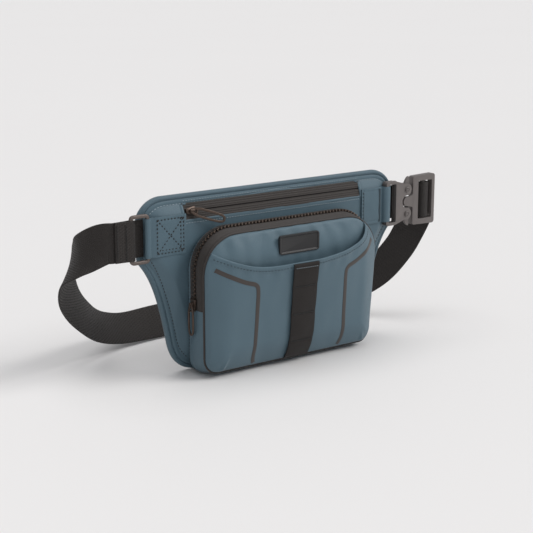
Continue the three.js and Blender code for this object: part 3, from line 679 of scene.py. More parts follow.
def makeRearZip():
    half, wide, slit = zipPlane["halfLength"] + 1, zipPlane["halfWidth"] + 0.6, zipPlane["slit"] / 2
    for label, sign in (("upper", 1), ("lower", -1)):
        def place(u, v):
            z = slit + (wide - slit) * v
            ridge = 0.28 * max(0, math.sin(z * 2 * math.pi / 2.1)) * smoothStep((z - 0.4) / 1)
            fold = 0.9 * bump(z - slit, 0.35)
            wave = 0.1 * ripple(u * 210, z, 25, sign)
            return zipPoint(-half + 2 * half * u, -0.55 - ridge + fold + wave, sign * z)
        tape = gridPiece(f"rearZipTape_{label}", 60, 40, place, (2 * half, wide))
        thicken(tape, 0.7, lambda c: Vector((0, -1, 0)))
        finishPiece(tape, "bag", tapeCloth, [f"rear_zip_{label}_tape"])
    turns, perTurn, reach = 130, 8, zipPlane["halfLength"] - 3
    points = []
    for k in range(turns * perTurn + 1):
        a = 2 * math.pi * k / perTurn
        x = -reach + 2 * reach * k / (turns * perTurn)
        points.append(zipPoint(x, 1.45 + 0.5 * math.cos(a), 2.2 * math.sin(a)))
    wire = [Vector((0.3 * math.cos(a), 0.3 * math.sin(a))) for a in (2 * math.pi * k / 5 for k in range(6))]
    coil = sweepPiece("rearZipCoil", pathFrames(points, Vector((1, 0, 0))), wire, pathLength(points))
    finishPiece(coil, "bag", tapeCloth, ["rear_zip_coil"], angle=60)


makeBinding()
makeSkin()
makePad()
makeRearZip()
print("back panel ready")


# ---- pouch: gusset, zip band, front panel and slip pocket ----
pouch = {
    "rearY": 12.7, "zipRearY": 6.8, "teethRearY": 2.6, "teethFrontY": -1.6,
    "zipFrontY": -11.6, "edgeY": -14.0,
    "half": 105.5, "top": 142.5, "bottom": 0.0, "frontLift": 5.0,
    "topRadius": 38, "bottomRadius": 15, "zipEndZ": 66.0,
    "frontEdgeY": -14.3, "bulge": 7.6, "riseWidth": 27.0,
}


def pouchAt(y):
    toRear = max(0, (y - pouch["zipRearY"]) / (pouch["rearY"] - pouch["zipRearY"]))
    toFront = max(0, (pouch["teethRearY"] - y) / (pouch["teethRearY"] - pouch["edgeY"]))
    return (pouch["half"] - 2.4 * toRear - toFront, pouch["top"] - 3.5 * toRear - 5 * toFront,
            pouch["bottom"] + 1.2 * toRear + pouch["frontLift"] * toFront)


# Points round the pouch at depth y with their outward directions. "zip" runs from the left zip
# end over the top to the right one, "bottom" closes it underneath.
def pouchPath(y, part, step=2.2):
    half, top, bottom = pouchAt(y)
    r, rb, endZ = pouch["topRadius"], pouch["bottomRadius"], pouch["zipEndZ"]
    path = []

    def line(a, b, normal):
        count = max(2, round((b - a).length / step))
        path.extend((a.lerp(b, k / count), normal) for k in range(count))

    def arc(cx, cz, radius, a0, a1, count):
        for k in range(count):
            a = math.radians(a0 + (a1 - a0) * k / count)
            out = Vector((math.cos(a), math.sin(a)))
            path.append((Vector((cx, cz)) + out * radius, out))
    left, right, up, down = Vector((-1, 0)), Vector((1, 0)), Vector((0, 1)), Vector((0, -1))
    if part != "bottom":
        line(Vector((-half, endZ)), Vector((-half, top - r)), left)
        arc(-half + r, top - r, r, 180, 90, 26)
        line(Vector((-half + r, top)), Vector((half - r, top)), up)
        arc(half - r, top - r, r, 90, 0, 26)
        line(Vector((half, top - r)), Vector((half, endZ)), right)
    if part != "zip":
        line(Vector((half, endZ)), Vector((half, bottom + rb)), right)
        arc(half - rb, bottom + rb, rb, 0, -90, 10)
        line(Vector((half - rb, bottom)), Vector((-half + rb, bottom)), down)
        arc(-half + rb, bottom + rb, rb, -90, -180, 10)
        line(Vector((-half, bottom + rb)), Vector((-half, endZ)), left)
    end = Vector((half, endZ)) if part == "zip" else Vector((-half, endZ))
    path.append((end, right if part == "zip" else left))
    return path


# A band round the pouch between two depths; lift(i, y, point) raises its face outwards.
def pouchBand(name, part, yRear, yFront, rows, lift, thickness, closed=False):
    depths = [yRear + (yFront - yRear) * k / rows for k in range(rows + 1)]
    middleCount = len(pouchPath((yRear + yFront) / 2, part))
    paths = []
    for y in depths:
        path = pouchPath(y, part)
        if len(path) != middleCount:
            last = len(path) - 1
            path = [path[min(last, round(k * last / (middleCount - 1)))] for k in range(middleCount)]
        paths.append(path)
    columns = middleCount - 1

    def place(u, v):
        j = round(v * rows)
        point, out = paths[j][round(u * columns)]
        raised = point + out * lift(u, depths[j], point)
        return Vector((raised.x, depths[j], raised.y))
    length = sum((a[0] - b[0]).length for a, b in zip(paths[0], paths[0][1:]))
    band = gridPiece(name, columns, rows, place, (length, abs(yRear - yFront)), closed=closed)
    thicken(band, thickness, lambda c: Vector((c.x, 0, c.z - 70)))
    return band


def edgeRoll(y, low, high, size):
    d = min(y - low, high - y)
    return -size * (1 - min(1, max(0, d) / size)) ** 2


def makeGusset():
    rear, zipRear, edge = pouch["rearY"], pouch["zipRearY"], pouch["edgeY"]

    # The rear seam stands up as a small folded flange with one row of sewing.
    def rearLift(u, y, p):
        flange = 1.1 * bump(y - 11.2, 1.0)
        fold = -0.6 * bump(y - 9.4, 0.5)
        return 0.2 + flange + fold + 0.3 * ripple(p.x, p.y + y, 24, 2) + edgeRoll(y, zipRear, rear + 2, 1.0)
    band = pouchBand("gussetRear", "all", rear, zipRear + 0.1, 16, rearLift, 1.1, closed=True)
    finishPiece(band, "bag", nylonCloth, ["gusset_rear_band"])
    line = [(Vector((p.x + n.x * 1.2, 11.1, p.y + n.y * 1.2)), Vector((n.x, -0.4, n.y)))
            for p, n in pouchPath(11.1, "all") if p.y > 6]
    stitchRow("gussetSewing", line, "bag", darkThread, pitch=3.3, long=2.3, thick=0.55)

    def lowerLift(u, y, p):
        seat = smoothStep((p.y - 1) / 12)
        sag = 1.1 * math.sin(math.pi * (zipRear - y) / (zipRear - edge)) * smoothStep((p.y - 8) / 20)
        crease = 0.55 * ripple(p.x * 0.5, p.y + 2 * y, 15, 8)
        crease += 0.4 * math.sin(p.y / 4.5 + y * 0.25) * bump(p.y - 22, 18)
        return seat * (sag + crease * smoothStep((60 - p.y) / 18)) + edgeRoll(y, edge, zipRear + 3, 1.4)
    band = pouchBand("gussetLower", "bottom", zipRear, edge, 34, lowerLift, 1.2)
    finishPiece(band, "bag", nylonCloth, ["gusset_lower_band"])


tooth = {"pitch": 2.0, "long": 1.4, "reach": 3.7, "high": 2.1, "overlap": 0.9}


def toothTemplate():
    clearSelection()
    bpy.ops.mesh.primitive_cube_add(size=1)
    block = bpy.context.object
    block.data.transform(Matrix.Diagonal((tooth["long"], tooth["reach"], tooth["high"], 1)))
    bpy.ops.object.mode_set(mode='EDIT')
    bpy.ops.mesh.select_all(action='SELECT')
    bpy.ops.mesh.bevel(offset=0.34, segments=2)
    bpy.ops.object.mode_set(mode='OBJECT')
    for v in block.data.vertices:       # the head, towards the chain's middle, is a little narrower on top
        if v.co.z > 0:
            v.co.x *= 0.86
    points = [v.co.copy() for v in block.data.vertices]
    faces = [tuple(f.vertices) for f in block.data.polygons]
    bpy.data.objects.remove(block)
    return points, faces


def makeMainZip():
    zipRear, teethRear = pouch["zipRearY"], pouch["teethRearY"]
    teethFront, zipFront = pouch["teethFrontY"], pouch["zipFrontY"]

    def rearLift(u, y, p):
        return 0.15 + 0.35 * bump(y - zipRear, 0.8) + 0.12 * math.sin(y * 2 * math.pi / 1.2)
    rear = pouchBand("mainZipTapeRear", "zip", zipRear + 0.6, teethFront + 1.6, 20, rearLift, 0.9)
    finishPiece(rear, "bag", tapeCloth, ["main_zip_rear_tape"])

    def frontLift(u, y, p):
        ribs = 0.09 * math.sin(y * 2 * math.pi / 1.1) * smoothStep((y + 10.6) / 1)
        crown = 0.7 * math.sin(math.pi * min(1, (teethFront - y) / (teethFront - zipFront)))
        return crown + ribs + 0.12 * ripple(p.x, p.y, 18, 4) - 0.5 * bump(y - zipFront, 0.8)
    fore = pouchBand("mainZipTapeFront", "zip", teethFront + 1.4, zipFront - 0.3, 34, frontLift, 0.9)
    finishPiece(fore, "bag", tapeCloth, ["main_zip_front_tape"])

    middle = (teethRear + teethFront) / 2
    path = pouchPath(middle, "zip", step=1.0)
    points, faces = toothTemplate()
    allPoints, allFaces = [], []
    travelled, due, index = 0.0, 1.0, 0
    for (p0, n0), (p1, n1) in zip(path, path[1:]):
        span = (p1 - p0).length
        while span > 0 and due <= travelled + span:
            t = (due - travelled) / span
            flat, out = p0.lerp(p1, t), n0.lerp(n1, t).normalized()
            along, up = (p1 - p0).normalized(), Vector((out.x, 0, out.y))
            side = 1 if index % 2 else -1
            toSide = side * (tooth["reach"] / 2 - tooth["overlap"])
            centre = Vector((flat.x, middle + toSide, flat.y)) + up * 0.75
            run = Vector((along.x, 0, along.y))
            first = len(allPoints)
            allPoints += [(centre + run * q.x + Vector((0, 1, 0)) * q.y + up * q.z) * mm for q in points]
            allFaces += [tuple(first + i for i in f) for f in faces]
            due += tooth["pitch"]
            index += 1
        travelled += span
    mesh = bpy.data.meshes.new("mainZipTeeth")
    mesh.from_pydata(allPoints, [], allFaces)
    chain = bpy.data.objects.new("mainZipTeeth", mesh)
    scene.collection.objects.link(chain)
    weld(chain)
    finishPiece(chain, "bag", toothMetal, ["main_zip_teeth"])

    # Dark corded seam between the zip and the front.
    ring = pouchPath(pouch["edgeY"] + 1, "all")
    cordY = pouch["edgeY"] - 0.1
    cordPoints = [Vector((p.x + n.x * 0.25, cordY, max(p.y + n.y * 0.25, 1.1))) for p, n in ring]
    section = [Vector((math.cos(a), math.sin(a))) for a in (2 * math.pi * k / 8 for k in range(9))]
    seam = sweepPiece("frontSeamCord", pathFrames(cordPoints, Vector((0, 1, 0)), True), section, 500, True)
    finishPiece(seam, "bag", tapeCloth, ["front_seam_flange"], angle=60)


makeGusset()
makeMainZip()
print("pouch walls ready")


pocket = {
    "rimMiddle": 105.0, "rimRise": 17.5, "rightRise": 8.0, "leftSag": 2.6, "gape": 10.2,
    "hem": 5.6, "stitchBelow": 3.6,
    "standOff": 1.2, "belly": 1.4,
}
edgeHalf, edgeTop, edgeBottom = pouchAt(pouch["edgeY"])


# How far inside the pouch's front outline a point is.
def depthInside(x, z):
    middle = (edgeTop + edgeBottom) / 2
    r = pouch["topRadius"] if z > middle else pouch["bottomRadius"]
    qx = abs(x) - (edgeHalf - r)
    qz = abs(z - middle) - ((edgeTop - edgeBottom) / 2 - r)
    return r - min(max(qx, qz), 0) - math.hypot(max(qx, 0), max(qz, 0))


def frontRise(x, z):
    return math.sin(min(max(depthInside(x, z) / pouch["riseWidth"], 0), 1) * math.pi / 2)


def halfWidthAt(z):
    r, rb = pouch["topRadius"], pouch["bottomRadius"]
    fromTop, fromBottom = z - (edgeTop - r), edgeBottom + rb - z
    if fromTop > 0:
        return edgeHalf - r + math.sqrt(max(0, r * r - min(fromTop, r) ** 2))
    if fromBottom > 0:
        return edgeHalf - rb + math.sqrt(max(0, rb * rb - min(fromBottom, rb) ** 2))
    return edgeHalf


def frontY(x, z):
    inside = depthInside(x, z)
    roll = 1.9 * math.sqrt(max(0, 1 - (1 - min(1, inside / 2.2)) ** 2))
    return pouch["frontEdgeY"] - roll - pouch["bulge"] * frontRise(x, z)


def frontPlace(u, v):
    z = edgeBottom + v * (edgeTop - edgeBottom)
    x = (2 * u - 1) * halfWidthAt(z)
    inside = depthInside(x, z)
    # gathers that run down from the zip seam, and soft folds under the label
    gather = math.sin(x / 3.1 + 1.7 * ripple(x, z, 30, 1)) * bump(inside - 4, 7) * smoothStep((z - 95) / 20)
    fold = ripple(x * 1.6, z * 0.45, 20, 6) * smoothStep((z - 80) / 25) * smoothStep((inside - 2) / 8)
    corner = math.sin((x - z) / 4.5) * bump(x - 88, 12) * bump(z - 122, 10)
    return Vector((x, frontY(x, z) - 0.6 * gather - 1.2 * fold - 0.8 * corner, z))


def rimHeight(s):
    rise = pocket["rimRise"] * abs(s) ** 2.4 + (pocket["rightRise"] * s ** 3 if s > 0 else 0)
    return pocket["rimMiddle"] + rise - pocket["leftSag"] * bump(s + 0.48, 0.28)


# Outer face of the slip pocket at s across (-1 to 1) and v up; proud stands it off further.
def pocketPlace(s, v, proud=0.0):
    z = edgeBottom + v * (rimHeight(s) - edgeBottom)
    x = s * (halfWidthAt(z) - 0.2)
    inside = depthInside(x, z)
    gape = pocket["gape"] * v ** 1.6 * frontRise(x, 70) * (1 - s * s) * (1 + 0.45 * s)
    below = rimHeight(s) - z
    hem = 0.5 * smoothStep((pocket["hem"] - below) / 0.8) - 0.35 * bump(below - pocket["stitchBelow"], 0.7)
    belly = pocket["belly"] * math.sin(math.pi * min(v * 1.1, 1)) * frontRise(x, z)
    soft = 0.9 * ripple(x * 1.3, z * 0.6, 34, 12) + 0.4 * ripple(x, z * 0.5, 14, 15)
    gather = 0.3 * math.sin(x / 2.6) * bump(below - 8, 6) * smoothStep((abs(s) - 0.15) / 0.1)
    pleat = 2.0 * math.exp(-((x + 92 - 0.35 * z) / 2.2) ** 2) * smoothStep((26 - z) / 16)
    dart = 2.0 * math.exp(-((x - 90 + 0.3 * z) / 2.0) ** 2) * smoothStep((22 - z) / 14)
    droop = 1.3 * bump(abs(x) - 74, 20) * bump(z - 16, 16)
    rounded = smoothStep(inside / 4)
    out = pocket["standOff"] * (0.3 + 0.7 * rounded) + gape + hem
    out += rounded * (belly + soft + gather + pleat + dart + droop)
    return Vector((x, frontY(x, z) - out - proud, z))


def pocketFrame(s, v):
    du = pocketPlace(s + 0.01, v) - pocketPlace(s - 0.01, v)
    dv = pocketPlace(s, min(v + 0.01, 1)) - pocketPlace(s, v - 0.01)
    out = du.cross(dv).normalized()
    return out if out.y < 0 else -out


def makeFront():
    panelPiece = gridPiece("frontPanel", 150, 110, frontPlace, (210, 138))
    thicken(panelPiece, 0.9, lambda c: Vector((0, -1, 0)))
    finishPiece(panelPiece, "bag", nylonCloth, ["front_panel"], angle=60)

    # The pocket's rim is turned over and runs a little way down inside.
    def place(u, v):
        s = (2 * u - 1)
        turn = 0.955
        if v <= turn:
            return pocketPlace(s * 0.999, v / turn)
        t = (v - turn) / (1 - turn)
        edgePoint = pocketPlace(s * 0.999, 1)
        return Vector((edgePoint.x, edgePoint.y + 1.9 * math.sin(min(1, t * 3) * math.pi / 2),
                       edgePoint.z + 0.55 * math.sin(min(1, t * 3) * math.pi) - 5 * max(0, t - 0.33)))
    piece = gridPiece("slipPocket", 150, 130, place, (210, 125))
    thicken(piece, 0.9, lambda c: Vector((0, -1, 0)) if c.z < 100 else Vector((0, -0.2, 0)))
    finishPiece(piece, "bag", nylonCloth, ["slip_pocket"], angle=60)
    line = []
    for k in range(121):
        s = -0.975 + 1.95 * k / 120
        v = 1 - pocket["stitchBelow"] / (rimHeight(s) - edgeBottom)
        line.append((pocketPlace(s, v, 0.12), pocketFrame(s, v)))
    stitchRow("pocketRimSewing", line, "bag", threadCloth, pitch=3.5, long=2.3, thick=0.95)


ladder = {
    "halfWidth": 14.5, "thick": 1.3, "stations": (0.985, 0.76, 0.48, 0.2, 0.02), "loop": 1.3, "proud": 0.9,
}


def ladderBulge(v):
    stops = ladder["stations"]
    for high, low in zip(stops, stops[1:]):
        if low <= v <= high:
            return ladder["loop"] * math.sin(math.pi * (v - low) / (high - low)) ** 0.7
    return 0


def ladderPlace(a, v, proud=0.0):
    base = pocketPlace(0, v)
    s = a / (halfWidthAt(base.z) - 0.2)
    side = pocketPlace(s, (base.z - edgeBottom) / (rimHeight(s) - edgeBottom))
    tilt = 0.18 * (base.z - 60) / 40      # the strip leans a little over its height
    return Vector((a + tilt, side.y - ladder["proud"] - ladderBulge(v) * (1 - (a / 22) ** 2) - proud, base.z))


def makeLadder():
    rows = 120
    section = [(-1, 0), *((-1 + 2 * k / 14, 1) for k in range(15)), (1, 0)]
    section += [(1 - 2 * k / 6, 0) for k in range(1, 7)]

    def place(u, v):
        a, front = section[round(u * (len(section) - 1))]
        height = 0.01 + 0.985 * v
        edge = 1 - 0.12 * abs(a) ** 10
        top = 0.9 * smoothStep((v - 0.985) / 0.015)
        p = ladderPlace(a * ladder["halfWidth"], height, front * ladder["thick"] * edge - top)
        return p
    strip = gridPiece("ladderWebbing", len(section) - 1, rows, place, (60, 100), closed=True, cap=True)
    finishPiece(strip, "bag", ladderCloth, ["ladder_webbing"], angle=50)
    for label, v in (("upper", 0.76), ("middle", 0.48), ("lower", 0.2)):
        line = []
        for k in range(61):
            a = -12.6 + 25.2 * k / 60
            line.append((ladderPlace(a, v + 0.006 * (-1) ** k, ladder["thick"] + 0.05), Vector((0, -1, 0))))
        row = stitchRow(f"ladderBartack_{label}", line, "bag", darkThread, pitch=1.1, long=1.5, thick=0.55)
        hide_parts(f"ladder_bartack_{label}")
    top = ladder["thick"] + 0.05
    line = [(ladderPlace(-13 + 26 * k / 40, 0.953, top), Vector((0, -1, 0))) for k in range(41)]
    stitchRow("ladderHemSewing", line, "bag", paleThread, pitch=2.6, long=1.9, thick=0.5)


# Bonded film stripes: a slanted arm, a round bend and a long leg.
def makeStripes():
    def steps(a, b, count):
        return [a + (b - a) * k / count for k in range(count)]
    for label, sign in (("left", -1), ("right", 1)):
        route = [(s, 0.895 - 0.055 * (0.93 - s) / 0.31) for s in steps(0.93, 0.60, 20)]
        route += [(0.575 - 0.07 * math.sin(a), 0.785 + 0.055 * math.cos(a)) for a in steps(0.2, 1.4, 12)]
        route += [(0.505 + 0.03 * (0.75 - v), v) for v in steps(0.75, 0.02, 46)]
        points = [pocketPlace(sign * s, v) for s, v in route]
        for _ in range(3):
            points[1:-1] = [(a + b * 2 + c) / 4 for a, b, c in zip(points, points[1:], points[2:])]
        width, rows = 4.2, 6

        def place(u, v):
            i = round(u * (len(points) - 1))
            along = (points[min(i + 1, len(points) - 1)] - points[max(i - 1, 0)])
            across = Vector((-along.z, 0, along.x)).normalized() * width * (v - 0.5)
            flat = points[i] + across
            s = flat.x / (halfWidthAt(flat.z) - 0.2)
            height = (flat.z - edgeBottom) / (rimHeight(s) - edgeBottom)
            end = 0.1 * abs(2 * v - 1) ** 4
            return pocketPlace(s, height, 0.28 - end)
        film = gridPiece(f"bondedStripe_{label}", len(points) - 1, rows, place, (110, width))
        thicken(film, 0.25, lambda c: Vector((0, -1, 0)))
        finishPiece(film, "bag", stripeFilm, [f"reflective_stripe_{label}"], angle=60)


# Moulded badge: rounded block with a raised border round a plain sunk field.
badge = {"halfWide": 24.2, "halfHigh": 9.5, "z": 122.0, "thick": 3.0, "corner": 3.0,
         "border": 1.6, "sink": 1.1}


def makeBadge():
    clearSelection()
    bpy.ops.mesh.primitive_cube_add(size=2)
    block = bpy.context.object
    block.name = block.data.name = "moldedBadge"
    seat = frontY(0, badge["z"]) - 0.2
    for v in block.data.vertices:
        v.co = Vector((v.co.x * badge["halfWide"], seat - badge["thick"] / 2 + v.co.y * badge["thick"] / 2,
                       badge["z"] + v.co.z * badge["halfHigh"])) * mm
    bpy.ops.object.mode_set(mode='EDIT')
    bpy.ops.mesh.select_mode(type='EDGE')
    bpy.ops.mesh.select_all(action='DESELECT')
    bpy.ops.object.mode_set(mode='OBJECT')
    for e in block.data.edges:
        a, b = (block.data.vertices[i].co for i in e.vertices)
        e.select = abs(a.y - b.y) > 0.5 * mm
    bpy.ops.object.mode_set(mode='EDIT')
    bpy.ops.mesh.bevel(offset=badge["corner"] * mm, segments=6)
    bpy.ops.mesh.select_mode(type='FACE')
    bpy.ops.mesh.select_all(action='DESELECT')
    bpy.ops.object.mode_set(mode='OBJECT')
    front = min(block.data.polygons, key=lambda f: f.center.y)
    front.select = True
    bpy.ops.object.mode_set(mode='EDIT')
    bpy.ops.mesh.inset(thickness=badge["border"] * mm)
    bpy.ops.mesh.inset(thickness=0.5 * mm, depth=-badge["sink"] * mm)
    bpy.ops.object.mode_set(mode='OBJECT')
    applyModifier(block, 'BEVEL', width=0.35 * mm, segments=2, limit_method='ANGLE',
                  angle_limit=math.radians(40))
    finishPiece(block, "bag", labelRubber, ["rubber_label"])


makeFront()
makeLadder()
makeStripes()
makeBadge()
print("pouch front ready")


# ---- fabric tabs that hold the ring and the buckle ----
beltZ = sum(p.z for p in cadBox("belt_ring")) / 2
tabs = {
    "left": {"sign": -1, "tail": 106.5, "bar": 148.3, "y": 13.0, "loopX": 3.1, "loopY": 3.0,
             "box": (109.5, 138.5)},
    "right": {"sign": 1, "tail": 109.0, "bar": 142.7, "y": 13.0, "loopX": 5.4, "loopY": 4.4,
              "box": (111.0, 133.0)},
}
tabHalf = 19.0


def makeTab(side):
    t = tabs[side]
    sign, tailY = t["sign"], 11.6
    line = [Vector((t["tail"], 12.9)), Vector((t["tail"], tailY))]
    flatEnd = t["bar"] - 9
    line += [Vector((t["tail"] + (flatEnd - t["tail"]) * k / 40, tailY - 0.4 * k / 40)) for k in range(1, 41)]
    for k in range(0, 25):
        a = math.radians(-100 + 205 * k / 24)
        line.append(Vector((t["bar"] + t["loopX"] * math.sin(a),
                            t["y"] - t["loopY"] * math.cos(a))))
    line = [p for p in line if p.x <= t["bar"] + t["loopX"] + 0.1]
    line.append(Vector((t["bar"] - 7, t["y"] + 1.6)))
    for _ in range(3):
        line[2:-1] = [(a + b * 2 + c) / 4 for a, b, c in zip(line[1:], line[2:], line[3:])]
    columns, rows = len(line) - 1, 46
    boxNear, boxFar = t["box"]

    def sewn(x, z):
        h = abs(z)
        dip = 0
        if boxNear - 1.2 < x < boxFar + 1.2 and h < tabHalf:
            dip = max(bump(x - boxNear, 0.7), bump(x - boxFar, 0.7), bump(h - 16, 0.7))
            if side == "left":
                slope = (x - boxNear) / (boxFar - boxNear) * 32 - 16
                dip = max(dip, bump(z - slope, 0.8), bump(z + slope, 0.8), bump(x - boxNear - 3.2, 0.6))
        return dip

    def place(u, v):
        i = round(u * columns)
        z = (2 * v - 1) * tabHalf
        p = line[i]
        front = i < len(line) - 10
        y = p.y + (0.45 * sewn(p.x, z) if front else 0)
        if p.x < flatEnd:
            puff = 0.35 * ripple(p.x, z, 9, 4 if side == "left" else 7)
        else:
            puff = 0.15 * ripple(p.x, z, 16, 3)
        rim = 0.35 * abs(2 * v - 1) ** 12
        narrow = 1 - 0.012 * bump(p.x - t["bar"], 6)
        return Vector((sign * p.x, y - puff + rim, beltZ + z * narrow))
    tab = gridPiece(f"beltTab_{side}", columns, rows, place, (60, 38))
    thicken(tab, 1.1, lambda c: Vector((0, -1, 0)) if c.y < 12 else Vector((0, 0.3, 0)))
    finishPiece(tab, "bag", nylonCloth, [f"{side}_tab"], angle=60)

    def onTab(x, z):
        share = (x - t["tail"]) / (flatEnd - t["tail"])
        return Vector((sign * x, tailY - 0.4 * min(1, share) + 0.15, beltZ + z)), Vector((0, -1, 0))

    def sewLine(label, a, b, thick=1.15):
        count = 24
        shares = [k / count for k in range(count + 1)]
        line = [onTab(a[0] + (b[0] - a[0]) * t, a[1] + (b[1] - a[1]) * t) for t in shares]
        stitchRow(f"tabSewing_{side}_{label}", line, "bag", darkThread, pitch=3.7, long=2.0, thick=thick)
    if side == "left":
        seams = (
            ("tail", (boxNear, -16), (boxNear, 16)), ("tail2", (boxNear + 3.2, -16), (boxNear + 3.2, 16)),
            ("fold", (boxFar, -16), (boxFar, 16)), ("top", (boxNear, 16), (boxFar, 16)),
            ("foot", (boxNear, -16), (boxFar, -16)), ("foot2", (boxNear + 3, -13), (boxFar - 3, -13)),
            ("rising", (boxNear, -16), (boxFar, 16)), ("falling", (boxNear, 16), (boxFar, -16)),
        )
        for label, a, b in seams:
            sewLine(label, a, b)
    else:
        sewLine("tail", (boxNear, -17), (boxNear, 17))
        zigzag = []
        for k in range(97):
            p, n = onTab(boxFar + (1.1 if k % 2 else -1.1), -17.5 + 35 * k / 96)
            zigzag.append((p, n))
        stitchRow("tabSewing_right_bar", zigzag, "bag", threadCloth, pitch=1.7, long=1.6, thick=0.6)


makeTab("left")
makeTab("right")


# Black webbing strips behind the ring's window and behind the buckle's slot, as painted shade: dark stand-ins
# for the shadow seen through them.
# Each side is its start and end along X, its depth, and the body it rides on.
shadowStrip = {
    "halfWide": 17.8, "thick": 1.1,
    "left": (-150.5, -165.5, 17.6, "ring"), "right": (143.0, 160.5, 18.9, "bag"),
}


def makeShadowStrip(side):
    start, end, y, body = shadowStrip[side]
    section = roundedRing(shadowStrip["halfWide"], shadowStrip["thick"] / 2, 0.45, flatA=18, flatB=1, cornerSteps=3)
    stations = []
    for k in range(15):
        x = start + (end - start) * k / 14
        stations.append((Vector((x, y + 0.2 * math.sin(k / 3), beltZ)), Vector((0, 0, 1)), Vector((0, 1, 0))))
    # a dark webbing strip that stands in for the shadow in the window or slot: painted shade
    flap = sweepPiece(f"webbingBacking_{side}", stations, section, abs(end - start))
    finishPiece(flap, body, webCloth, angle=50)


makeShadowStrip("left")
makeShadowStrip("right")


# ---- belt: two lengths of webbing, one from the ring and one from the buckle, that meet behind ----
web = {"half": 19.0, "thick": 1.8, "perStation": 7}
beltStations = [
    [(-185.2, 13.6, 138.5), (0, 0, 1)],
    [(-193, 16.8, 138.2), (0.02, 0, 1)],
    [(-202, 25, 132.5), (0.14, -0.01, 0.99)],
    [(-209, 36, 124), (0.28, -0.02, 0.96)],
    [(-211, 51, 110.5), (0.42, 0.05, 0.9)],
    [(-206, 66, 89), (0.62, 0.35, 0.68)],
    [(-193, 81, 69), (0.66, 0.56, 0.48)],
    [(-172, 99, 48.5), (0.6, 0.68, 0.4)],
    [(-148, 118, 31), (0.52, 0.73, 0.44)],
    [(-124, 131, 20.5), (0.4, 0.75, 0.52)],
    [(-98, 138, 15.5), (0.34, 0.74, 0.58)],
    [(-57, 141, 15.6), (0.2, 0.65, 0.73)],
    [(0, 139, 16.8), (0.08, 0.6, 0.79)],
    [(60, 130, 17), (0, 0.6, 0.8)],
    [(112, 114, 18.5), (-0.05, 0.65, 0.75)],
    [(150, 90, 30), (-0.1, 0.78, 0.6)],
    [(177, 66, 50), (-0.15, 0.86, 0.45)],
    [(196, 52, 76), (-0.17, 0.9, 0.34)],
    [(208, 46, 99), (-0.16, 0.88, 0.42)],
    [(213.5, 38.5, 119), (-0.1, 0.84, 0.53)],
    [(212, 31.5, 131), (-0.05, 0.55, 0.83)],
    [(204.5, 25, 137.5), (0, 0.12, 0.99)],
    [(198.5, 19.6, 138.5), (0, 0, 1)],
]


def smoothThrough(points, t):
    spans = len(points) - 1
    i = min(int(t * spans), spans - 1)
    f = t * spans - i
    p1, p2 = points[i], points[i + 1]
    p0 = points[i - 1] if i > 0 else p1 * 2 - p2
    p3 = points[i + 2] if i + 2 <= spans else p2 * 2 - p1
    return (p1 * 2 + (p2 - p0) * f + (p0 * 2 - p1 * 5 + p2 * 4 - p3) * f * f
            + (p1 * 3 - p0 - p2 * 3 + p3) * f ** 3) / 2


def beltRoute(first, last):
    centres = [Vector(c) for c, _ in beltStations]
    acrosses = [Vector(a).normalized() for _, a in beltStations]
    spans = len(beltStations) - 1
    count = round((last - first) * web["perStation"])
    times = [(first + (last - first) * k / count) / spans for k in range(count + 1)]
    return [(smoothThrough(centres, t), smoothThrough(acrosses, t)) for t in times]


def webStations(route):
    stations = []
    for i, (p, across) in enumerate(route):
        along = (route[min(i + 1, len(route) - 1)][0] - route[max(i - 1, 0)][0]).normalized()
        across = (across - along * across.dot(along)).normalized()
        stations.append((p, across, along.cross(across)))
    return stations


def loopRoute(centre, radiusX, radiusY, start, end, count):
    up = Vector((0, 0, 1))
    turns = [math.radians(start + (end - start) * k / count) for k in range(count + 1)]
    x, y = centre
    return [(Vector((x + radiusX * math.cos(a), y + radiusY * math.sin(a), beltZ)), up) for a in turns]


def makeBelt():
    up = Vector((0, 0, 1))
    section = roundedRing(web["half"], web["thick"] / 2, 0.75, flatA=22, flatB=1, cornerSteps=3)
    # the end comes back over the front of the webbing and is sewn down 15 mm from the rail
    foldedBack = ((-183.2, 11.75), (-180, 11.5), (-176, 11.2), (-172, 10.8), (-168.5, 10.35))
    back = [(Vector((x, y, beltZ)), up) for x, y in foldedBack]
    ringBelt = back + loopRoute((-165.9, 13.0), 2.9, 2.75, -80, 80, 14)
    ringBelt += [(Vector((x, y, beltZ)), up) for x, y in ((-169, 15.3), (-174, 14.6), (-179, 13.9))]
    ringBelt += beltRoute(0, 13.0)
    piece = sweepPiece("beltFromRing", webStations(ringBelt), section, pathLength([p for p, _ in ringBelt]))
    finishPiece(piece, None, webCloth, ["belt_ring_wrap", "belt_left", "belt_back"])
    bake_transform(piece)
    for k, x in enumerate((-181.6, -172.5)):
        front = 11.65 - 0.9 if k == 0 else 10.85 - 0.9
        zigzag = [Vector((x + 0.5 * (-1) ** n, front - 0.12, beltZ - 17 + 34 * n / 68)) for n in range(69)]
        line = [(p, Vector((0, -1, 0))) for p in zigzag]
        stitchRow(f"ringWebSewing{k + 1}", line, "ring", darkThread, pitch=1.25, long=1.3, thick=0.45)

    centre = (195.25, 13.0)
    buckleBelt = beltRoute(13.0, 21.0)
    buckleBelt += [(Vector((x, y, beltZ)), up) for x, y in ((200.9, 22.5), (201.3, 18.0))]
    buckleBelt += loopRoute(centre, 5.3, 3.5, 20, -200, 26)
    buckleBelt += [(Vector((x, y, beltZ)), up) for x, y in ((191.4, 17.2), (194.2, 20.0), (196.8, 24.0))]
    length = pathLength([p for p, _ in buckleBelt])
    piece = sweepPiece("beltFromBuckle", webStations(buckleBelt), section, length)
    finishPiece(piece, None, webCloth, ["belt_right", "belt_tongue_wrap"])
    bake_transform(piece)


makeBelt()
print("belt ready")


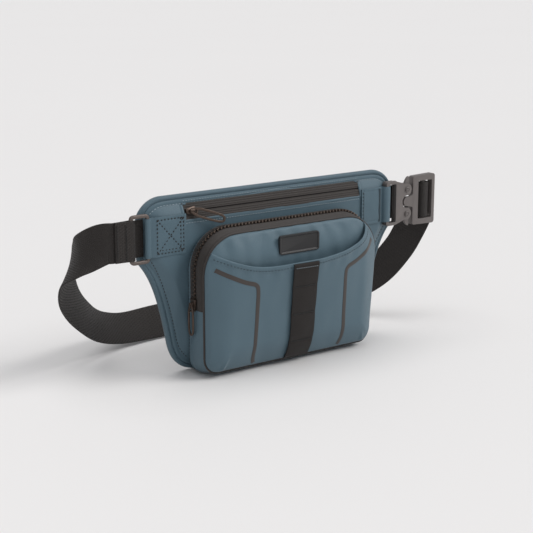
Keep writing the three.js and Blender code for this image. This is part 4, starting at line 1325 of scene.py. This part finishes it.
# ---- metal ring, zip hardware and buckle ----
def makeRing():
    low, high = cadBox("belt_ring")
    half = 1.75
    outline = roundedRing((high.x - low.x) / 2 - half, (high.z - low.z) / 2 - half, 2.4, 6, 10, 6)
    middle = (low + high) / 2
    points = [Vector((middle.x + p.x, middle.y, middle.z + p.y)) for p in outline[:-1]]
    points = [p for i, p in enumerate(points) if (p - points[i - 1]).length > 0.01]
    points.append(points[0].copy())
    section = roundedRing(half, (high.y - low.y) / 2, 1.15, 1, 1, 4)
    stations = pathFrames(points, Vector((0, 1, 0)), True)
    ringPiece = sweepPiece("beltRing", stations, section, pathLength(points), True)
    finishPiece(ringPiece, "ring", ringMetal, ["belt_ring"], angle=60)


# A long loop with an eye for its pin: made lying along +X, then put in place.
pull = {"halfWide": 3.7, "halfEye": 2.6, "wire": 1.15, "deep": 0.8, "cross": 5.4}


def makePull(name, node, body, length, turn, origin):
    reach = length - pull["wire"]
    outline = []
    for k in range(61):
        a = 2 * math.pi * k / 60
        x = (reach - 0.4) / 2 + (reach + 0.4) / 2 * math.copysign(abs(math.cos(a)) ** 0.55, math.cos(a))
        wide = pull["halfEye"] + (pull["halfWide"] - pull["halfEye"]) * smoothStep(x / 9)
        outline.append(Vector((x - 0.2, 0, wide * math.copysign(abs(math.sin(a)) ** 0.62, math.sin(a)))))
    outline[-1] = outline[0].copy()
    section = roundedRing(pull["wire"], pull["deep"], 0.45, 1, 1, 3)
    loop = sweepPiece(name, pathFrames(outline, Vector((0, 1, 0)), True), section, pathLength(outline), True)
    bars = [loop]
    for x, radius in ((0, 0.5), (pull["cross"], 0.85)):
        clearSelection()
        bpy.ops.mesh.primitive_cylinder_add(vertices=14, radius=radius * mm, depth=2 * pull["halfEye"] * mm,
                                            location=(x * mm, 0, 0))
        bar = bpy.context.object
        bpy.ops.object.transform_apply(location=True, rotation=True, scale=True)
        applyModifier(bar, 'BEVEL', width=0.12 * mm, segments=2, limit_method='ANGLE',
                      angle_limit=math.radians(40))
        bars.append(bar)
    clearSelection()
    for bar in bars:
        bar.select_set(True)
    bpy.context.view_layer.objects.active = loop
    bpy.ops.object.join()
    loop.data.transform(Matrix.Translation(Vector(origin) * mm) @ turn)
    finishPiece(loop, body, zipMetal, [node], angle=60)


def makeZipHardware():
    drop, forward = 0.34, 0.2
    turn = Matrix.Rotation(drop, 4, 'Y') @ Matrix.Rotation(-forward, 4, 'Z')
    makePull("rearZipPull", "rear_zip_pull", "rear_pull", 36.0, turn, zipPoint(-100, -4.5, 0))
    turn = Matrix.Rotation(-math.pi / 2, 4, 'Z') @ Matrix.Rotation(math.pi / 2, 4, 'Y')
    makePull("mainZipPull", "main_zip_pull", "main_pull", 30.0, turn, (-109.95, 0.5, 71))
    for label, body in (("rear", "rear_slider"), ("main", "main_slider")):
        slider = bevelledCopy(f"{label}_zip_slider", f"{label}ZipSlider", 0.32, 3)
        finishPiece(slider, body, zipMetal, [f"{label}_zip_slider"])
    for side in ("left", "right"):
        stop = bevelledCopy(f"main_zip_{side}_stop", f"mainZipStop_{side}", 0.3, 3)
        finishPiece(stop, "bag", zipMetal, [f"main_zip_{side}_stop"])


def makeRivet(label):
    low, high = cadBox(f"rivet_{label}")
    middle = (low + high) / 2
    clearSelection()
    radius, depth = (high.x - low.x) / 2 * mm, (high.y - low.y) * mm
    bpy.ops.mesh.primitive_cylinder_add(vertices=40, radius=radius, depth=depth)
    rivet = bpy.context.object
    rivet.name = rivet.data.name = f"latchRivet_{label}"
    turn = Matrix.Rotation(math.pi / 2, 4, 'X')
    rivet.data.transform(Matrix.Translation(middle * mm) @ turn)
    for v in rivet.data.vertices:       # shank below the head
        if v.co.y > middle.y * mm:
            v.co.x = middle.x * mm + (v.co.x - middle.x * mm) * 0.74
            v.co.z = middle.z * mm + (v.co.z - middle.z * mm) * 0.74
    bpy.ops.object.mode_set(mode='EDIT')
    bpy.ops.mesh.select_mode(type='FACE')
    bpy.ops.mesh.select_all(action='DESELECT')
    bpy.ops.object.mode_set(mode='OBJECT')
    min(rivet.data.polygons, key=lambda f: f.center.y).select = True
    bpy.ops.object.mode_set(mode='EDIT')
    for thickness, depth in ((0.35, 0.25), (0.3, 0), (0.12, -0.5), (0.3, 0), (0.12, 0.5)):
        bpy.ops.mesh.inset(thickness=thickness * mm, depth=depth * mm)
    bpy.ops.object.mode_set(mode='OBJECT')
    finishPiece(rivet, "bag", buckleMetal, [f"rivet_{label}"], angle=30)


def makeSpring(label):
    low, high = cadBox(f"latch_spring_{label}")
    middle = (low + high) / 2
    turns, perTurn = 5, 14
    points = []
    for k in range(turns * perTurn + 1):
        a = 2 * math.pi * k / perTurn
        points.append(Vector((middle.x + 0.9 * math.cos(a), middle.y + 0.75 * math.sin(a),
                              low.z + 0.3 + (high.z - low.z - 0.6) * k / (turns * perTurn))))
    wire = [Vector((0.22 * math.cos(a), 0.22 * math.sin(a))) for a in (2 * math.pi * k / 6 for k in range(7))]
    stations = pathFrames(points, Vector((0, 0, 1)))
    spring = sweepPiece(f"latchSpring_{label}", stations, wire, pathLength(points))
    finishPiece(spring, "bag", springMetal, [f"latch_spring_{label}"], angle=60)


def makeBuckle():
    for node, width in (("socket_front_plate", 0.55), ("socket_back_plate", 0.5), ("socket_spacer", 0.3)):
        plate = bevelledCopy(node, node.replace("_plate", "Plate").replace("_spacer", "Spacer"), width, 3)
        finishPiece(plate, "bag", buckleMetal, [node], angle=35)
    tongueFrame = bevelledCopy("buckle_tongue", "buckleTongue", 0.6, 3, trim=0.8, trimTo=182)
    finishPiece(tongueFrame, "tongue", buckleMetal, ["buckle_tongue"], angle=35)
    bar = bevelledCopy("tongue_bar", "tongueBar", 0.3, 2)
    finishPiece(bar, "tongue", buckleMetal, ["tongue_bar"], angle=50)
    for label, body in (("upper", "latch_top"), ("lower", "latch_bottom")):
        latch = bevelledCopy(f"latch_{label}", f"latch_{label}Arm", 0.75, 4)
        finishPiece(latch, body, buckleMetal, [f"latch_{label}"], angle=45)
        makeRivet(label)
        makeSpring(label)


makeRing()
makeZipHardware()
makeBuckle()
print("hardware ready")


# The pouch leans in at its lower right and its lining stands off the floor with it.
lean = {"reach": 7.0, "height": 112.0, "pieces": (
    "gussetRear", "gussetSewing", "gussetLower", "frontSeamCord", "frontPanel", "slipPocket", "pouchLining")}


def makeLining():
    piece = bevelledCopy("pouch_lining", "pouchLining", 0.2)
    for v in piece.data.vertices:
        toFront = smoothStep((pouch["zipRearY"] - v.co.y / mm) / 14)
        v.co.z += (pouch["frontLift"] + 0.8) * mm * toFront * (1 - v.co.z / (0.14))
    finishPiece(piece, "bag", liningCloth, ["pouch_lining"])


def leanPouch():
    for name in lean["pieces"]:
        for v in bpy.data.objects[name].data.vertices:
            x, y, z = v.co / mm
            if x > 0:
                share = smoothStep((lean["height"] - z) / lean["height"])
                share *= smoothStep((pouch["rearY"] - y) / 20)
                v.co.x -= lean["reach"] * mm * share * min(1, x / pouch["half"]) ** 3


makeLining()
leanPouch()
print("lining ready")


# ---- floor, light and camera ----
studio = {"key": 1.7, "fill": 0.15, "top": 1.0, "world": 0.42, "floor": (0.80, 0.79, 0.785)}


def makeStage():
    clearSelection()
    bpy.ops.mesh.primitive_plane_add(size=1)
    floor = bpy.context.object
    floor.name = "studioSweep"
    floor.data.transform(Matrix.Diagonal((80, 80, 1, 1)))
    floor.data.transform(Matrix.Translation((0, 0, -0.0002)))
    material, tree, shader = newMaterial("paleSweep", studio["floor"], 0.6)
    tone = placeGroup(tree, cloudGroup, coordinate(tree, 'Object'), Cloud_Scale=1.5)
    tree.links.new(mixColours(tree, tone.outputs["Cloud"], scaled(studio["floor"], 0.985), studio["floor"]),
                   shader.inputs["Base Color"])
    floor.data.materials.append(material)


def addLight(name, place, spread, power, colour=(1, 1, 1)):
    light = bpy.data.lights.new(name, 'SUN')
    light.angle = math.radians(spread)
    light.energy = power
    light.color = colour
    lamp = bpy.data.objects.new(name, light)
    scene.collection.objects.link(lamp)
    lamp.location = place
    lamp.rotation_euler = (-Vector(place)).to_track_quat('-Z', 'Y').to_euler()


def makeLights():
    scene.view_settings.view_transform = 'Standard'
    addLight("keyLight", (1.1, -0.85, 1.15), 32, studio["key"], (1, 0.985, 0.97))
    addLight("fillLight", (-1.3, -1.5, 0.9), 60, studio["fill"], (0.95, 0.97, 1))
    addLight("topLight", (-0.2, 0.35, 1.9), 50, studio["top"])
    world = bpy.data.worlds.new("softRoom")
    world.use_nodes = True
    world.node_tree.nodes["Background"].inputs["Color"].default_value = (0.97, 0.975, 1, 1)
    world.node_tree.nodes["Background"].inputs["Strength"].default_value = studio["world"]
    scene.world = world


view = {"azimuth": -36.0, "elevation": 13.6, "lens": 87.8, "distance": 1.2949,
        "aim": (-0.0101, 0.016, 0.0918)}


def makeCamera():
    camera = bpy.data.cameras.new("mainCamera")
    camera.lens = view["lens"]
    camera.sensor_width = 36
    holder = bpy.data.objects.new("mainCamera", camera)
    scene.collection.objects.link(holder)
    a, e = math.radians(view["azimuth"]), math.radians(view["elevation"])
    back = Vector((math.sin(a) * math.cos(e), -math.cos(a) * math.cos(e), math.sin(e)))
    holder.location = Vector(view["aim"]) + back * view["distance"]
    holder.rotation_euler = (-back).to_track_quat('-Z', 'Y').to_euler()
    scene.camera = holder


makeStage()
makeLights()
makeCamera()
